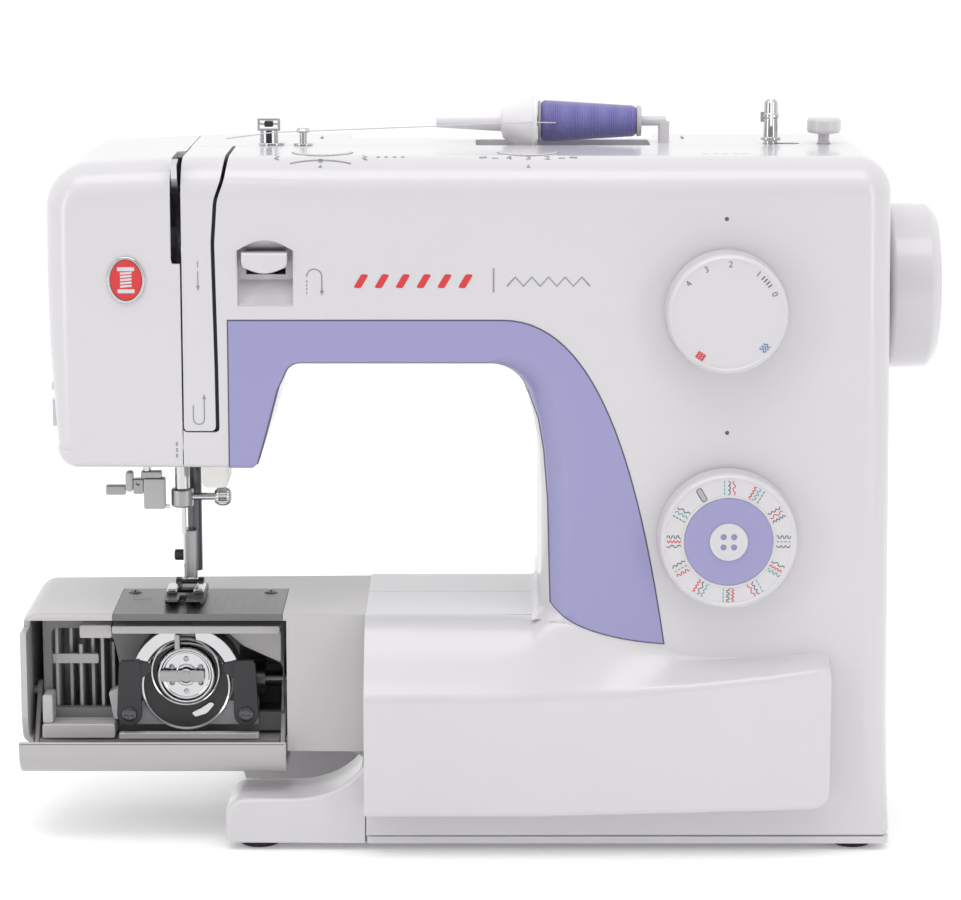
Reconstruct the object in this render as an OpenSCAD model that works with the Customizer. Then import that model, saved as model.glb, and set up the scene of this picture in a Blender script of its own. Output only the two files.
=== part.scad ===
// Domestic free-arm sewing machine with a front-loading vertical hook.
// Frame: +X to the handwheel, +Y to the back, +Z up. The origin is on the table,
// under the middle of the machine. Every size is in millimetres.

/* [Housing] */
// Wall thickness of the casings
wall = 2.5; // [2.2:0.1:2.8]
// Depth of the machine from its middle plane to the front of the base
half_depth = 76; // [75.6:0.1:76.4]
// Front face of the column and head, behind the middle plane when negative
front_y = -62; // [-62.2:0.1:-61.9]
// Back face of the column and head
back_y = 64; // [63.8:0.1:64.2]
// Height of the top face
top_z = 283.5; // [283.4:0.1:283.6]
// Height of the rubber feet
foot_h = 3; // [2.8:0.1:3.2]

/* [Free arm] */
// Height of the stitching surface
bed_z = 96; // [95.9:0.1:96.1]
// Underside of the free arm
arm_low_z = 38; // [37.5:0.1:38.2]
// Left end of the free arm
arm_left = -190; // [-190.2:0.1:-189.8]

/* [Drive] */
// Height of the upper shaft
shaft_z = 225.1; // [225:0.1:225.2]
// Radius of the handwheel
wheel_r = 34.3; // [33:0.1:34.6]
// Height of the lower shaft
low_shaft_z = 57; // [56.8:0.1:57.2]
// Radius of both toothed belt pulleys
pulley_r = 14; // [13.8:0.1:14]

/* [Hook and needle] */
// Sideways place of the needle bar
bar_x = -124.5; // [-124.6:0.1:-124.4]
// Fore and aft place of the needle bar
bar_y = -20; // [-20.1:0.1:-19.9]
// Centre of the hook, sideways
hook_x = -122.3; // [-122.4:0.1:-122.2]
// Centre of the hook, height
hook_z = 68.5; // [68.4:0.1:68.6]
// Radius of the bobbin
bobbin_r = 10.3; // [10:0.1:10.4]

/* [Dials] */
// Radius of the stitch length dial
length_dial_r = 24.5; // [22:0.5:25]
// Radius of the stitch pattern dial
stitch_dial_r = 28.2; // [26:0.2:28.4]

/* [Hidden] */
$fn = 48;
fit = 0.05;
gap = 0.3;
split_y = -6;
right_low = 166;
right_top = 162.5;
root_x = -48;
shell_low = foot_h + 3;
slot_x = -119.9;
strip_x = -107;
strip_low = 174;
length_dial = [96.6, 223.4];
stitch_dial = [98.1, 131.6];
spool_y = 10;
spool_z = 292.4;
presser = [-120.5, -8];
takeup = [-32, 250];
lifter = [32, 170];
cover_pivot = [-20, 57.2];
base_cover_low = 18;
motor_c = [34, 34];
winder = [119, 5];
handle_pivot = [52, 279];
left_latch_c = [-145.8, 52.5];
right_latch_c = [-97.6, 52.5];
screw_r = 1.95;
pin_r = 2.5;
bar_r = 3.1;
main_r = 4;
low_r = 3.5;

white = [0.93, 0.93, 0.94];
grey = [0.72, 0.71, 0.72];
lilac = [0.62, 0.60, 0.80];
steel = [0.66, 0.66, 0.68];
black = [0.12, 0.12, 0.13];

// ---- outline helpers -------------------------------------------------------
function arc(cx, cz, r, a0, a1, n = 8) =
    [for (i = [0:n]) let (a = a0 + (a1 - a0) * i / n) [cx + r * cos(a), cz + r * sin(a)]];

function bezier(p0, p1, p2, p3, n = 12) =
    [for (i = [0:n]) let (t = i / n, s = 1 - t)
        s * s * s * p0 + 3 * s * s * t * p1 + 3 * s * t * t * p2 + t * t * t * p3];

// Front view of the C-shaped housing, drawn in by `i` all round; `low` is its open foot.
function body_outline(i, low) = concat(
    [[root_x + i, low], [right_low - i, low]],
    arc(right_top - 14, top_z - 14, 14 - i, 0, 90),
    [[-112, top_z - i]],
    arc(-158, top_z - 18, 16 - i, 95, 180),
    [[-174.3 + i, 235], [-173.7 + i, 207], [-170.7 + i, 168]],
    arc(-163, 167.5, 8 - i, 180, 270),
    [[-93, 159.5 + i], [-90.2 - i, 161 + i], [-87.3 - i, 171], [-81.9 - i, 191.2]],
    arc(-73 - i, 195.5 + i, 6.2, 165, 90, 4),
    arc(1, 184.7, 17 + i, 90, 15),
    [[20.5 + i, 178], [22.8 + i, 164], [23.6 + i, 145], [23.4 + i, 126], [23.3 + i, bed_z + 4]],
    arc(19.3 + i, bed_z + 4 - i, 4, 0, -90, 4),
    [[root_x + i, bed_z - i]]
);

// Extrudes an X-Z outline from y0 to y1.
module along_y(y0, y1) {
    translate([0, y1, 0]) rotate([90, 0, 0]) linear_extrude(y1 - y0) children();
}

// Extrudes a Y-Z outline from x0 to x1.
module along_x(x0, x1) {
    translate([x0, 0, 0]) rotate([90, 0, 90]) linear_extrude(x1 - x0) children();
}

module box(lo, hi) {
    translate(lo) cube(hi - lo);
}

// Cylinders along each axis, from one end to the other.
module rod_x(x0, x1, c, r) {
    translate([x0, c[0], c[1]]) rotate([0, 90, 0]) cylinder(h = x1 - x0, r = r);
}

module rod_y(y0, y1, c, r) {
    translate([c[0], y1, c[1]]) rotate([90, 0, 0]) cylinder(h = y1 - y0, r = r);
}

module rod_z(z0, z1, c, r) {
    translate([c[0], c[1], z0]) cylinder(h = z1 - z0, r = r);
}

// Solid of revolution about a line along X; points are [x, radius].
module turned_x(points, c) {
    translate([0, c[0], c[1]]) rotate([0, 90, 0]) rotate_extrude()
        polygon([for (p = points) [p[1], p[0]]]);
}

// ---- housing ---------------------------------------------------------------
module housing_wall(y0, y1) {
    difference() {
        along_y(y0, y1) polygon(body_outline(0, shell_low));
        along_y(front_y + wall, back_y - wall) polygon(body_outline(wall, foot_h));
    }
}

// Everything left of the take-up slot belongs to the face cover.
module head_end_zone() {
    box([-200, -90, 150], [slot_x, 90, 300]);
}

module strip_zone() {
    box([-125, -90, strip_low], [strip_x, split_y, 300]);
}

// Openings under the head for the bars, the foot lifter and the lamp.
module head_openings() {
    box([-158, -36, 155], [-104, 12, 163]);
    box([-119.5, 24, 155], [-110.5, 70, 192]);
}

module shaft_openings() {
    rod_x(155, 170, [0, shaft_z], 8);
    box([148, -40.3, 27.7], [170, -13.7, 52.3]);
    box([148, -36.3, 61.7], [170, -17.7, 82.3]);
}

// Way from the housing into the free arm for the frame and the lower shaft.
module arm_root_opening() {
    box([root_x - 1, -8, 48], [root_x + wall + 1, 22, 88]);
}

module front_shell() {
    color(white) difference() {
        housing_wall(front_y, split_y - 0.1);
        arm_root_opening();
        head_end_zone();
        strip_zone();
        head_openings();
        shaft_openings();
        box([root_x - 1, front_y - 1, base_cover_low - 0.15], [23.5, -47.95, bed_z + 1]);
        rod_y(front_y - 1, -55, length_dial, main_r + fit);
        rod_y(front_y - 1, -55, stitch_dial, main_r + fit);
        box([-98, front_y - 1, 225], [-75.5, -58, 248]);
        rod_y(front_y - 1, -58, [-86.75, 243], 9);
        rod_z(275, 290, [-64.5, -36], 12 + gap);
        rod_z(275, 290, [18, -36], 12 + gap);
    }
}

// A tub let into the top face, with walls 2 mm thick.
module tub_block(lo, hi, floor_z) {
    box([lo[0] - 2, lo[1] - 2, floor_z - 2], [hi[0] + 2, hi[1] + 2, top_z - 0.1]);
}

module rear_shell() {
    spool_lo = [-3, -3.5];
    spool_hi = [69, 22.9];
    grip_lo = [-68.4, 25.2];
    grip_hi = [84.7, 56.6];
    color(white) difference() {
        union() {
            housing_wall(split_y + 0.1, back_y);
            tub_block(spool_lo, spool_hi, 279.2);
            tub_block(grip_lo, grip_hi, 273.8);
        }
        arm_root_opening();
        head_end_zone();
        head_openings();
        shaft_openings();
        box([spool_lo[0], spool_lo[1], 279.2], [spool_hi[0], spool_hi[1], 290]);
        box([grip_lo[0], grip_lo[1], 273.8], [grip_hi[0], grip_hi[1], 290]);
        rod_x(-71.5, 88, handle_pivot, 2);
        rod_z(275, 290, winder, 3.3);
        rod_z(275, 290, winder + [9, 0], 3.3);
        box([winder[0], winder[1] - 3.3, 275], [winder[0] + 9, winder[1] + 3.3, 290]);
    }
}

module face_cover() {
    color(white) difference() {
        housing_wall(front_y, back_y);
        box([slot_x - 0.4, -90, 0], [200, 90, 300]);
        box([-124.3, -90, 242], [-100, -24, 300]);
        head_openings();
    }
}

module takeup_cover() {
    color(white) difference() {
        housing_wall(front_y, split_y - 0.2);
        box([strip_x - 1, -90, 0], [200, 90, 300]);
        box([-200, -90, 0], [slot_x + 0.3, 90, 300]);
        box([-200, -90, 0], [200, 90, strip_low + 0.4]);
    }
}

module lilac_trim() {
    inner = [[27.5, 103.2], [26.8, 140], [24.6, 165], [19.4, 188]];
    color(lilac) along_y(front_y - 0.8, front_y) polygon(concat(
        [[-101.4, 159.6], [-101.4, 219]],
        bezier([8, 219], [45, 219], [62, 160], [72.9, 87.4]),
        bezier([72.9, 87.4], [50, 89], [34, 95], inner[0], 6),
        inner,
        arc(1, 184.7, 17.3, 25, 90),
        arc(-73, 195.8, 6.2, 90, 165, 4),
        [[-82.1, 191.2], [-87.5, 171], [-90.4, 161], [-92, 159.6]]
    ));
}

// Plan of the free arm with rounded corners, drawn in by `i`.
module arm_plan(i) {
    linear_extrude(120) polygon(concat(
        arc(arm_left + 15, 10, 15 - i, 90, 180),
        arc(arm_left + 4, -44, 4 - i, 180, 270),
        [[root_x + i, -48 + i], [root_x + i, 25 - i]]));
}

module free_arm_shell() {
    color(white) difference() {
        intersection() {
            along_y(-48, 25) polygon(concat(
                arc(arm_left + 8, bed_z - 8, 8, 90, 180),
                arc(arm_left + 5, arm_low_z + 5, 5, 180, 270),
                [[root_x - 0.2, arm_low_z], [root_x - 0.2, bed_z]]));
            arm_plan(0);
        }
        difference() {
            intersection() {
                along_y(-60, 40) polygon(concat(
                    arc(arm_left + 8, bed_z - 8, 8 - wall, 90, 180),
                    [[arm_left + wall, arm_low_z + wall], [root_x + 1, arm_low_z + wall],
                    [root_x + 1, bed_z - wall]]));
                arm_plan(wall);
            }
            box([-80, -48, arm_low_z], [-78, 25, bed_z]);
        }
        box([-191, -49, 30], [-80.4, -44.5, bed_z - wall - 0.2]);
        difference() {
            box([-191, -49, 30], [-80.4, cover_pivot[0], cover_pivot[1]]);
            rod_x(-192, -80, cover_pivot, 25.1);
        }
        box([-191, -49, 84], [-183.4, -32, bed_z - wall - 0.2]);
        for (x = [-186.4, -84.4]) box([x, -45, 30], [x + 2.8, -7, 44]);
        box([-151.5, -49, 90], [-81.8, -0.9, 100]);
        rod_x(-191, -186, cover_pivot, 2);
        rod_x(-81, -77, cover_pivot, 2);
        rod_x(-81, -77, [0, low_shaft_z], 6);
        box([-81, 8, 56], [-77, 21, 88]);
    }
}

module base_tray() {
    ramp = [[-75, 21.7], [-62, 25], [-53, 32], [-49.5, 37], [root_x - 0.2, 37],
            [root_x - 0.2, 21.7]];
    color(white) {
        box([root_x - 0.2, front_y, foot_h], [right_low, back_y, shell_low - 0.1]);
        for (y0 = [front_y, back_y - 32]) difference() {
            union() {
                linear_extrude(21.8) polygon(concat(
                    arc(-100.6, y0 + 5, 5, 180, 270, 4),
                    [[root_x - 0.2, y0], [root_x - 0.2, y0 + 32]],
                    arc(-100.6, y0 + 27, 5, 90, 180, 4)));
                along_y(y0, y0 + 32) polygon(ramp);
            }
            box([-110, -90, -1], [0, 90, foot_h]);
        }
    }
}

// Slab of the front base cover's section at one place along X.
module cover_section(x, points) {
    along_x(x, x + 0.1) polygon(points);
}

module front_base_cover() {
    front = -half_depth;
    back = front_y - 0.05;
    low = base_cover_low;
    color(white) difference() {
        union() {
            hull() {
                cover_section(root_x - 0.1, [[-48.1, bed_z], [front, 67.3], [front, low], [-48.1, low]]);
                cover_section(23.2, [[-48.1, bed_z], [-60, bed_z - 1], [front, 67.3],
                    [front, low], [-48.1, low]]);
            }
            hull() {
                cover_section(23.3, [[back, 93], [front, 67.3], [front, low], [back, low]]);
                cover_section(74, [[back, 86.9], [front, 69], [front, low], [back, low]]);
            }
            hull() {
                cover_section(74.1, [[back, 86.9], [front, 69], [front, low], [back, low]]);
                cover_section(140.5, [[back, 86.2], [front, 82.5], [front, low + 3], [back, low + 3]]);
            }
        }
        box([root_x + 3, front + 3, low + 3], [20, -40, 64]);
        box([26, front + 3, low + 5], [137, -60, 64]);
    }
}

module rubber_feet() {
    color(black) for (x = [-92, 152], y = [-50, 48])
        rod_z(0, foot_h, [x, y], 8);
}

// Case screws under the base, plate screws and the two latch pivots.
module screws() {
    color(steel) {
        for (x = [-60, 20, 120], y = [-40, 40]) {
            rod_z(foot_h - 2, foot_h, [x, y], 3.5);
        }
        for (x = [-146, -89]) rod_z(bed_z, bed_z + 0.6, [x, -8], 3);
        for (c = [left_latch_c, right_latch_c]) {
            rod_y(-44.2, -43, c, 3.2);
            rod_y(-43, -38, c, screw_r);
        }
    }
}

module frame_casting() {
    color(grey) difference() {
        union() {
            along_y(13, 19) polygon([[-134, 172], [-134, 262], [112, 262], [160, 262], [160, 252],
                [112, 252], [112, 236], [60, 236], [60, 60], [-150, 60], [-150, 84], [36, 84],
                [36, 236], [-104, 236], [-104, 164], [-112, 164], [-112, 172]]);
            for (x = [-96, 20, 100]) box([x, -8, 216], [x + 9, 19, 240]);
            box([156, -8, 216], [160, 19, 262]);
            for (x = [-76, 50]) box([x, -7, 50], [x + 8, 19, 66]);
            box([-134, -25, 244], [-110, 19, 252]);
            box([-134, -25, 172], [-112, 19, 180]);
            box([-116, -38, 243], [-108, -24, 257]);
            box([-111, 13, 164], [-104, 38, 178]);
        }
        rod_x(-120, 170, [0, shaft_z], main_r + fit);
        rod_x(-90, 90, [0, low_shaft_z], low_r + fit);
        rod_z(160, 270, [bar_x, bar_y], bar_r + fit);
        rod_z(160, 270, presser, 3 + fit);
        rod_x(-120, -100, takeup, pin_r + fit);
        rod_x(-112, -100, lifter, pin_r + fit);
    }
}

// ---- needle plate, feed and hook -------------------------------------------
module needle_plate() {
    color(steel) difference() {
        box([-151.3, -47.6, bed_z - 2.8], [-82, -1.1, bed_z]);
        for (x = [-130, -120.8]) box([x, -31.5, 90], [x + 2.8, -6.5, 100]);
        rod_z(90, 100, [-125.2, bar_y], 1.2);
        rod_z(90, 100, [-122.4, bar_y], 1.2);
        box([-125.2, bar_y - 1.2, 90], [-122.4, bar_y + 1.2, 100]);
    }
}

module feed_dog() {
    color(steel) {
        difference() {
            box([-131, -24, 86], [-117, 10, 91]);
            box([-127, -22.3, 80], [-121, -13, 95]);
        }
        for (x = [-129.6, -120.4]) {
            box([x, -29, 91], [x + 2, -9, bed_z]);
            for (y = [-29:1.5:-10.5]) along_x(x, x + 2)
                polygon([[y, bed_z - 0.1], [y + 1.3, bed_z - 0.1], [y + 0.3, bed_z + 0.7]]);
        }
    }
}

module feed_bar() {
    color(steel) box([-128, -6.5, 78], [-120, 9.5, 84]);
}

module hook_race() {
    race_z = 66;
    color(grey) difference() {
        union() {
            rod_y(-38, -26, [hook_x, race_z], 19.5);
            box([-150, -38, 47], [-93, -31, 57]);
            box([-132, -31, 49], [-113, 13, 53]);
            box([-132, 7, 49], [-113, 13, 66]);
        }
        rod_y(-39, -30, [hook_x, hook_z], 15.9);
        rod_y(-31, -20, [hook_x, hook_z], 3 + fit);
        rod_y(-39, -30, left_latch_c, screw_r);
        rod_y(-39, -30, right_latch_c, screw_r);
    }
}

module shuttle_hook() {
    color(steel) {
        difference() {
            rod_y(-37.9, -30.2, [hook_x, hook_z], 15.84);
            rod_y(-39, -31.8, [hook_x, hook_z], 12.3);
            along_y(-39, -31.8) polygon([[hook_x, hook_z], [hook_x + 2, hook_z + 20],
                [hook_x + 14, hook_z + 20], [hook_x + 16, hook_z + 9]]);
        }
        rod_y(-30.3, -9, [hook_x, hook_z], 3);
    }
}

module race_cover() {
    color(steel) difference() {
        rod_y(-40, -38.1, [hook_x, 67.3], 18.4);
        rod_y(-41, -38, [hook_x, hook_z], 13.2);
    }
}

module bobbin_case() {
    color(steel) {
        difference() {
            rod_y(-41.6, -32.1, [hook_x, hook_z], 11.9);
            rod_y(-40.4, -32, [hook_x, hook_z], 10.8);
            box([hook_x + 5, -42, hook_z - 1.2], [hook_x + 13, -31, hook_z + 1.2]);
        }
        rod_y(-40.5, -32.3, [hook_x, hook_z], 2.6);
        box([-127.2, -41.6, hook_z + 11], [-124.4, -40.2, hook_z + 17.5]);
        box([hook_x - 9, -42.8, hook_z - 2.6], [hook_x + 9, -41.5, hook_z + 2.6]);
    }
}

module bobbin() {
    color(steel) difference() {
        union() {
            rod_y(-40.2, -39.2, [hook_x, hook_z], bobbin_r);
            rod_y(-33.4, -32.4, [hook_x, hook_z], bobbin_r);
            rod_y(-39.3, -33.3, [hook_x, hook_z], 7.5);
        }
        rod_y(-41, -32, [hook_x, hook_z], 2.6 + fit);
    }
}

// One latch bar; `side` is -1 for the left one and 1 for the right one.
module race_latch(c, side) {
    color(black) difference() {
        union() {
            rod_y(-43, -40.3, c, 5.2);
            along_y(-43, -40.3) polygon([[c[0] - 4.6, c[1]], [c[0] + 4.6, c[1]],
                [c[0] + 4.6 - side * 0.6, c[1] + 22.5], [c[0] - 4.6 - side * 0.6, c[1] + 22.5]]);
            along_y(-43, -40.3) polygon([[c[0] - side * 4, c[1] + 22.5],
                [c[0] - side * 9.5, c[1] + 21], [c[0] - side * 9, c[1] + 17.5], [c[0] - side * 4, c[1] + 14]]);
        }
        rod_y(-44, -40, c, screw_r + fit);
    }
}

module left_latch() {
    race_latch(left_latch_c, -1);
}

module right_latch() {
    race_latch(right_latch_c, 1);
}

// Shown swung open under the arm; its lip then faces the front.
module hook_cover() {
    color(white) {
        along_x(arm_left, -80.6) polygon(concat(
            [[-56, 44]], arc(-46, 39.4, 10, 180, 270, 6), [[-6, 29.4], [-6, 31.4]],
            arc(-46, 39.4, 8, 270, 180, 6), [[-54, 44]]));
        for (x = [-186, -84]) {
            along_x(x, x + 2) polygon([[-44, 31], [-12, 31], [-16, 57.2], [-24, 57.2]]);
            rod_x(x, x + 2, cover_pivot, 4);
        }
        rod_x(-189, -184.5, cover_pivot, 2 - fit);
        rod_x(-83.5, -78.6, cover_pivot, 2 - fit);
    }
}

// ---- drive -----------------------------------------------------------------
module main_shaft() {
    color(steel) rod_x(-108, 186, [0, shaft_z], main_r);
}

module handwheel() {
    color(white) difference() {
        turned_x([[165.5, 0], [165.5, wheel_r - 1.5], [167, wheel_r], [186, wheel_r],
            [190, wheel_r - 4], [190, 0]], [0, shaft_z]);
        rod_x(165, 186, [0, shaft_z], main_r);
    }
}

module crank_disc() {
    color(grey) difference() {
        rod_x(-115.6, -108, [0, shaft_z], 13);
        rod_x(-108.1, -107, [0, shaft_z], main_r);
    }
}

module belt_wheels() {
    color(black) difference() {
        union() {
            rod_x(120, 128, [0, shaft_z], pulley_r);
            rod_x(146, 154, [0, shaft_z], 24);
        }
        rod_x(110, 160, [0, shaft_z], main_r);
    }
}

module lower_shaft() {
    color(steel) {
        rod_x(-100, 134, [0, low_shaft_z], low_r);
        rod_x(-100, -92, [0, low_shaft_z], 8);
        rod_x(120, 128, [0, low_shaft_z], pulley_r);
    }
}

module timing_belt_loop(r) {
    union() {
        translate([0, shaft_z]) circle(r = r);
        translate([0, low_shaft_z]) circle(r = r);
        translate([-r, low_shaft_z]) square([2 * r, shaft_z - low_shaft_z]);
    }
}

module motor_belt_loop(out) {
    hull() {
        translate([0, shaft_z]) circle(r = 24 + out);
        translate(motor_c) circle(r = 8 + out);
    }
}

// The toothed timing belt and the motor belt.
module belts() {
    color(black) {
        along_x(120.5, 127.5) difference() {
            timing_belt_loop(pulley_r + 1.8);
            timing_belt_loop(pulley_r + 0.1);
        }
        along_x(147, 153) difference() {
            motor_belt_loop(1.8);
            motor_belt_loop(0.3);
        }
    }
}

module motor() {
    color(steel) {
        difference() {
            union() {
                rod_x(32, 98, motor_c, 19);
                rod_x(98, 102, motor_c, 9);
            }
            rod_x(90, 110, motor_c, pin_r + fit);
        }
        box([40, 16, shell_low], [90, 52, shell_low + 10]);
    }
}

module motor_pulley() {
    color(steel) {
        rod_x(91, 156, motor_c, pin_r);
        rod_x(146, 154, motor_c, 8);
    }
}

// ---- needle and presser bars -----------------------------------------------
module takeup_lever() {
    tip = [-60, 279];
    color(steel) difference() {
        union() {
            rod_x(-123.2, -120.8, takeup, 5);
            along_x(-123.2, -120.8) polygon([takeup + [-3, -4.5], takeup + [3.5, 4],
                tip + [4, 4], tip + [-4, 2.5], tip + [-3, -3]]);
            rod_x(-121, -108.5, takeup, pin_r);
        }
        rod_x(-124, -120, tip, 1.3);
    }
}

module needle_bar() {
    color(steel) rod_z(138, 262, [bar_x, bar_y], bar_r);
}

module needle_clamp() {
    color(steel) difference() {
        rod_z(135.5, 143.1, [bar_x, bar_y], 4.6);
        rod_z(138, 150, [bar_x, bar_y], bar_r);
        rod_z(130, 140, [-124, bar_y], 1.05);
        rod_x(-122, -115, [bar_y, 139.6], 1.7);
    }
}

module clamp_screw() {
    color(steel) {
        rod_x(-121.3, -110.5, [bar_y, 139.6], 1.65);
        turned_x([[-111, 0], [-111, 3], [-109.5, 4], [-105.5, 4], [-104, 3.2], [-104, 0]],
            [bar_y, 139.6]);
    }
}

module needle() {
    color(steel) {
        rod_z(124, 138, [-124, bar_y], 1);
        rod_z(111, 124, [-124, bar_y], 0.45);
        translate([-124, bar_y, 107]) cylinder(h = 4, r1 = 0.1, r2 = 0.45);
    }
}

module needle_threader() {
    color(grey) {
        box([-147, -23, 134.6], [-131.5, -17, 148.4]);
        box([-156, -22, 140.5], [-146.5, -18, 144.3]);
        rod_z(148, 215, [-139, bar_y], 1.6);
        box([-131.6, -21, 134.6], [-129.6, -19.6, 136.4]);
    }
}

module presser_bar() {
    color(steel) {
        rod_z(106, 262, presser, 3);
        rod_z(190, 194, presser, 4.6);
    }
}

module presser_spring() {
    color(steel) for (i = [0:11])
        translate([presser[0], presser[1], 196 + 4 * i]) rotate_extrude()
            translate([4, 0]) circle(r = 0.6);
}

module presser_ankle() {
    color(steel) difference() {
        box([-124.8, -14.6, 103.4], [-119.4, -7, 124]);
        rod_z(100, 130, presser, 3);
        rod_x(-126, -119, [-12.3, 113.2], 1.1);
    }
}

module foot_screw() {
    color(black) {
        rod_x(-128.8, -124.8, [-12.3, 113.2], 2.2);
        rod_x(-124.9, -121, [-12.3, 113.2], 1.1);
    }
}

module presser_foot() {
    sole_z = bed_z + 1;
    color(steel) {
        difference() {
            box([-131.7, -38, sole_z], [-115.4, -4, sole_z + 2.4]);
            box([-125.6, -40, sole_z - 1], [-122.4, -26, sole_z + 4]);
            box([-127.5, -22.5, sole_z - 1], [-120.5, -17.5, sole_z + 4]);
        }
        for (x = [-128.5, -119.2]) box([x, -14, sole_z + 2.3], [x + 2.2, -6, sole_z + 5.6]);
        rod_x(-128.4, -117.1, [-10, sole_z + 4.2], 1);
    }
}

module lifter_lever() {
    color(white) {
        rod_x(-118, -112, lifter, 6);
        along_x(-118, -112) polygon([lifter + [-2, -5], lifter + [2, 5.5], [66, 157],
            [half_depth, 150], [half_depth - 2, 145.5], [64, 150]]);
        rod_x(-113, -105, lifter, pin_r);
    }
}

// ---- controls on the front and top -----------------------------------------
module dial(c, r, front) {
    color(white) {
        difference() {
            rod_y(front, front_y - 0.4, c, r);
            rod_y(front - 1, front + 0.6, c, r - 3);
        }
        rod_y(front_y - 1, -46, c, main_r);
    }
}

module length_dial_knob() {
    dial(length_dial, length_dial_r, -75.6);
}

module stitch_dial_knob() {
    dial(stitch_dial, stitch_dial_r, -73.5);
}

module reverse_lever() {
    color(white) {
        along_x(-95.8, -77.6) polygon([[-65.5, 239.5], [-65.5, 246.2], [-60, 247.4], [-40, 246],
            [-40, 243], [-60, 239.5]]);
        rod_x(-95.8, -77.6, [-42, 244], 3);
    }
}

// Flat wheel let into the top face.
module top_dial(c) {
    color(white) {
        rod_z(279, top_z + 0.6, c, 12);
        rod_z(266, 279.1, c, 3);
    }
}

module width_dial() {
    top_dial([-64.5, -36]);
}

module tension_dial() {
    top_dial([18, -36]);
}

module carry_handle() {
    low = 275;
    high = 283.2;
    color(white) {
        box([-68, 25.6, low], [84.3, 35, high]);
        for (x = [-68, 72.3]) {
            box([x, 30, low], [x + 12, handle_pivot[0], high]);
            rod_x(x, x + 12, handle_pivot, 4.2);
        }
        rod_x(-70.2, -67.9, handle_pivot, 2 - fit);
        rod_x(84.2, 86.5, handle_pivot, 2 - fit);
    }
}

module spool_pin() {
    color(white) {
        rod_x(-17, 76, [spool_y, spool_z], 2);
        rod_z(top_z, spool_z, [75, spool_y], 2.4);
    }
}

module spool_cap() {
    color(white) difference() {
        turned_x([[-19.5, 0], [-19.5, 2.6], [6.7, 4.3], [6.8, 7.4], [19.5, 11.4], [20, 12.4],
            [22.4, 12.4], [22.4, 0]], [spool_y, spool_z]);
        rod_x(-17.2, 23, [spool_y, spool_z], 2 + fit);
    }
}

module thread_spool() {
    color(lilac) difference() {
        turned_x([[22.8, 0], [22.8, 8.8], [64.8, 6.4], [65.6, 6.6], [65.6, 0]],
            [spool_y, spool_z]);
        rod_x(20, 70, [spool_y, spool_z], 2 + fit);
    }
}

// Straight run of thread between two points.
module strand(a, b, r) {
    d = b - a;
    translate(a) rotate([0, atan2(norm([d[0], d[1]]), d[2]), atan2(d[1], d[0])])
        cylinder(h = norm(d), r = r, $fn = 8);
}

module upper_thread() {
    route = [[30, 1.2, 292.4], [21.2, -3.9, 293], [-86, -5.4, 289], [-105, -11, 287]];
    color(lilac) for (i = [0:len(route) - 2]) strand(route[i], route[i + 1], 0.25);
}

module thread_guides() {
    color(steel) {
        box([-92.5, -3, top_z], [-81.5, 3, top_z + 1]);
        rod_z(top_z, 292, [-87, 0], 1.8);
        rod_z(291, 295.3, [-87, 0], 4.4);
        rod_z(top_z, top_z + 1, [-74, -2], 4);
        rod_z(top_z, 290.6, [-74, -2], 1.6);
        rod_z(289, 290.7, [-74, -2], 2.8);
    }
}

module thread_cutter() {
    color(white) difference() {
        box([-176.2, -30, 171], [-170.5, -14, 189]);
        box([-177, -31, 182], [-174.6, -13, 186]);
        along_y(-40, 0) polygon(body_outline(0, shell_low));
    }
}

module lamp() {
    color([0.9, 0.9, 0.88]) box([-115, -35.5, 146], [-104.4, -13, 172]);
}

module inlet_socket() {
    color(black) {
        difference() {
            box([148.8, -40, 28], [165.8, -14, 52]);
            box([151.3, -37, 31], [167, -17, 49]);
        }
        for (y = [-32, -27, -22]) rod_x(150.8, 161, [y, 40], 1.2);
    }
}

module power_switch() {
    color(black) {
        along_y(-36, -18) polygon([[154.5, 62], [163.9, 62.5], [165.6, 81.2], [154.5, 81]]);
        rod_y(-37.2, -16.8, [159.5, 72], 1.5);
    }
}

module winder_stop() {
    color(white) {
        rod_z(top_z, 289, [141, winder[1]], 2.3);
        rod_z(288, 294.4, [141, winder[1]], 7.1);
    }
}

module winder_arm() {
    color(grey) difference() {
        box([113, -2, 265], [126, 11, 275]);
        rod_z(260, 280, winder, 2.9 + fit);
    }
}

module winder_spindle() {
    color(steel) {
        rod_z(264, 301.8, winder, 2.9);
        rod_z(275.4, 280, winder, 8);
        box([winder[0] - 4.2, winder[1] - 0.6, 293], [winder[0], winder[1] + 0.6, 297]);
    }
}

front_shell();
rear_shell();
face_cover();
takeup_cover();
lilac_trim();
free_arm_shell();
base_tray();
front_base_cover();
rubber_feet();
screws();
frame_casting();
needle_plate();
belts();
motor();
hook_race();
race_cover();
bobbin_case();
lamp();
thread_guides();
thread_cutter();
inlet_socket();
winder_stop();
presser_spring();
spool_pin();
upper_thread();
main_shaft();
handwheel();
crank_disc();
belt_wheels();
takeup_lever();
needle_bar();
needle_clamp();
clamp_screw();
needle();
needle_threader();
presser_bar();
presser_ankle();
foot_screw();
presser_foot();
lifter_lever();
feed_bar();
feed_dog();
lower_shaft();
motor_pulley();
shuttle_hook();
bobbin();
left_latch();
right_latch();
hook_cover();
stitch_dial_knob();
length_dial_knob();
reverse_lever();
tension_dial();
width_dial();
carry_handle();
spool_cap();
thread_spool();
winder_arm();
winder_spindle();
power_switch();
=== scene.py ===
"""Looks of a domestic free-arm sewing machine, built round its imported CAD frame.

Lengths inside the helpers are millimetres in the CAD frame: +X to the handwheel,
+Y to the back, +Z up. Objects are written in metres.
"""
import math

import bmesh
import bpy
from mathutils import Matrix, Vector


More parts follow.
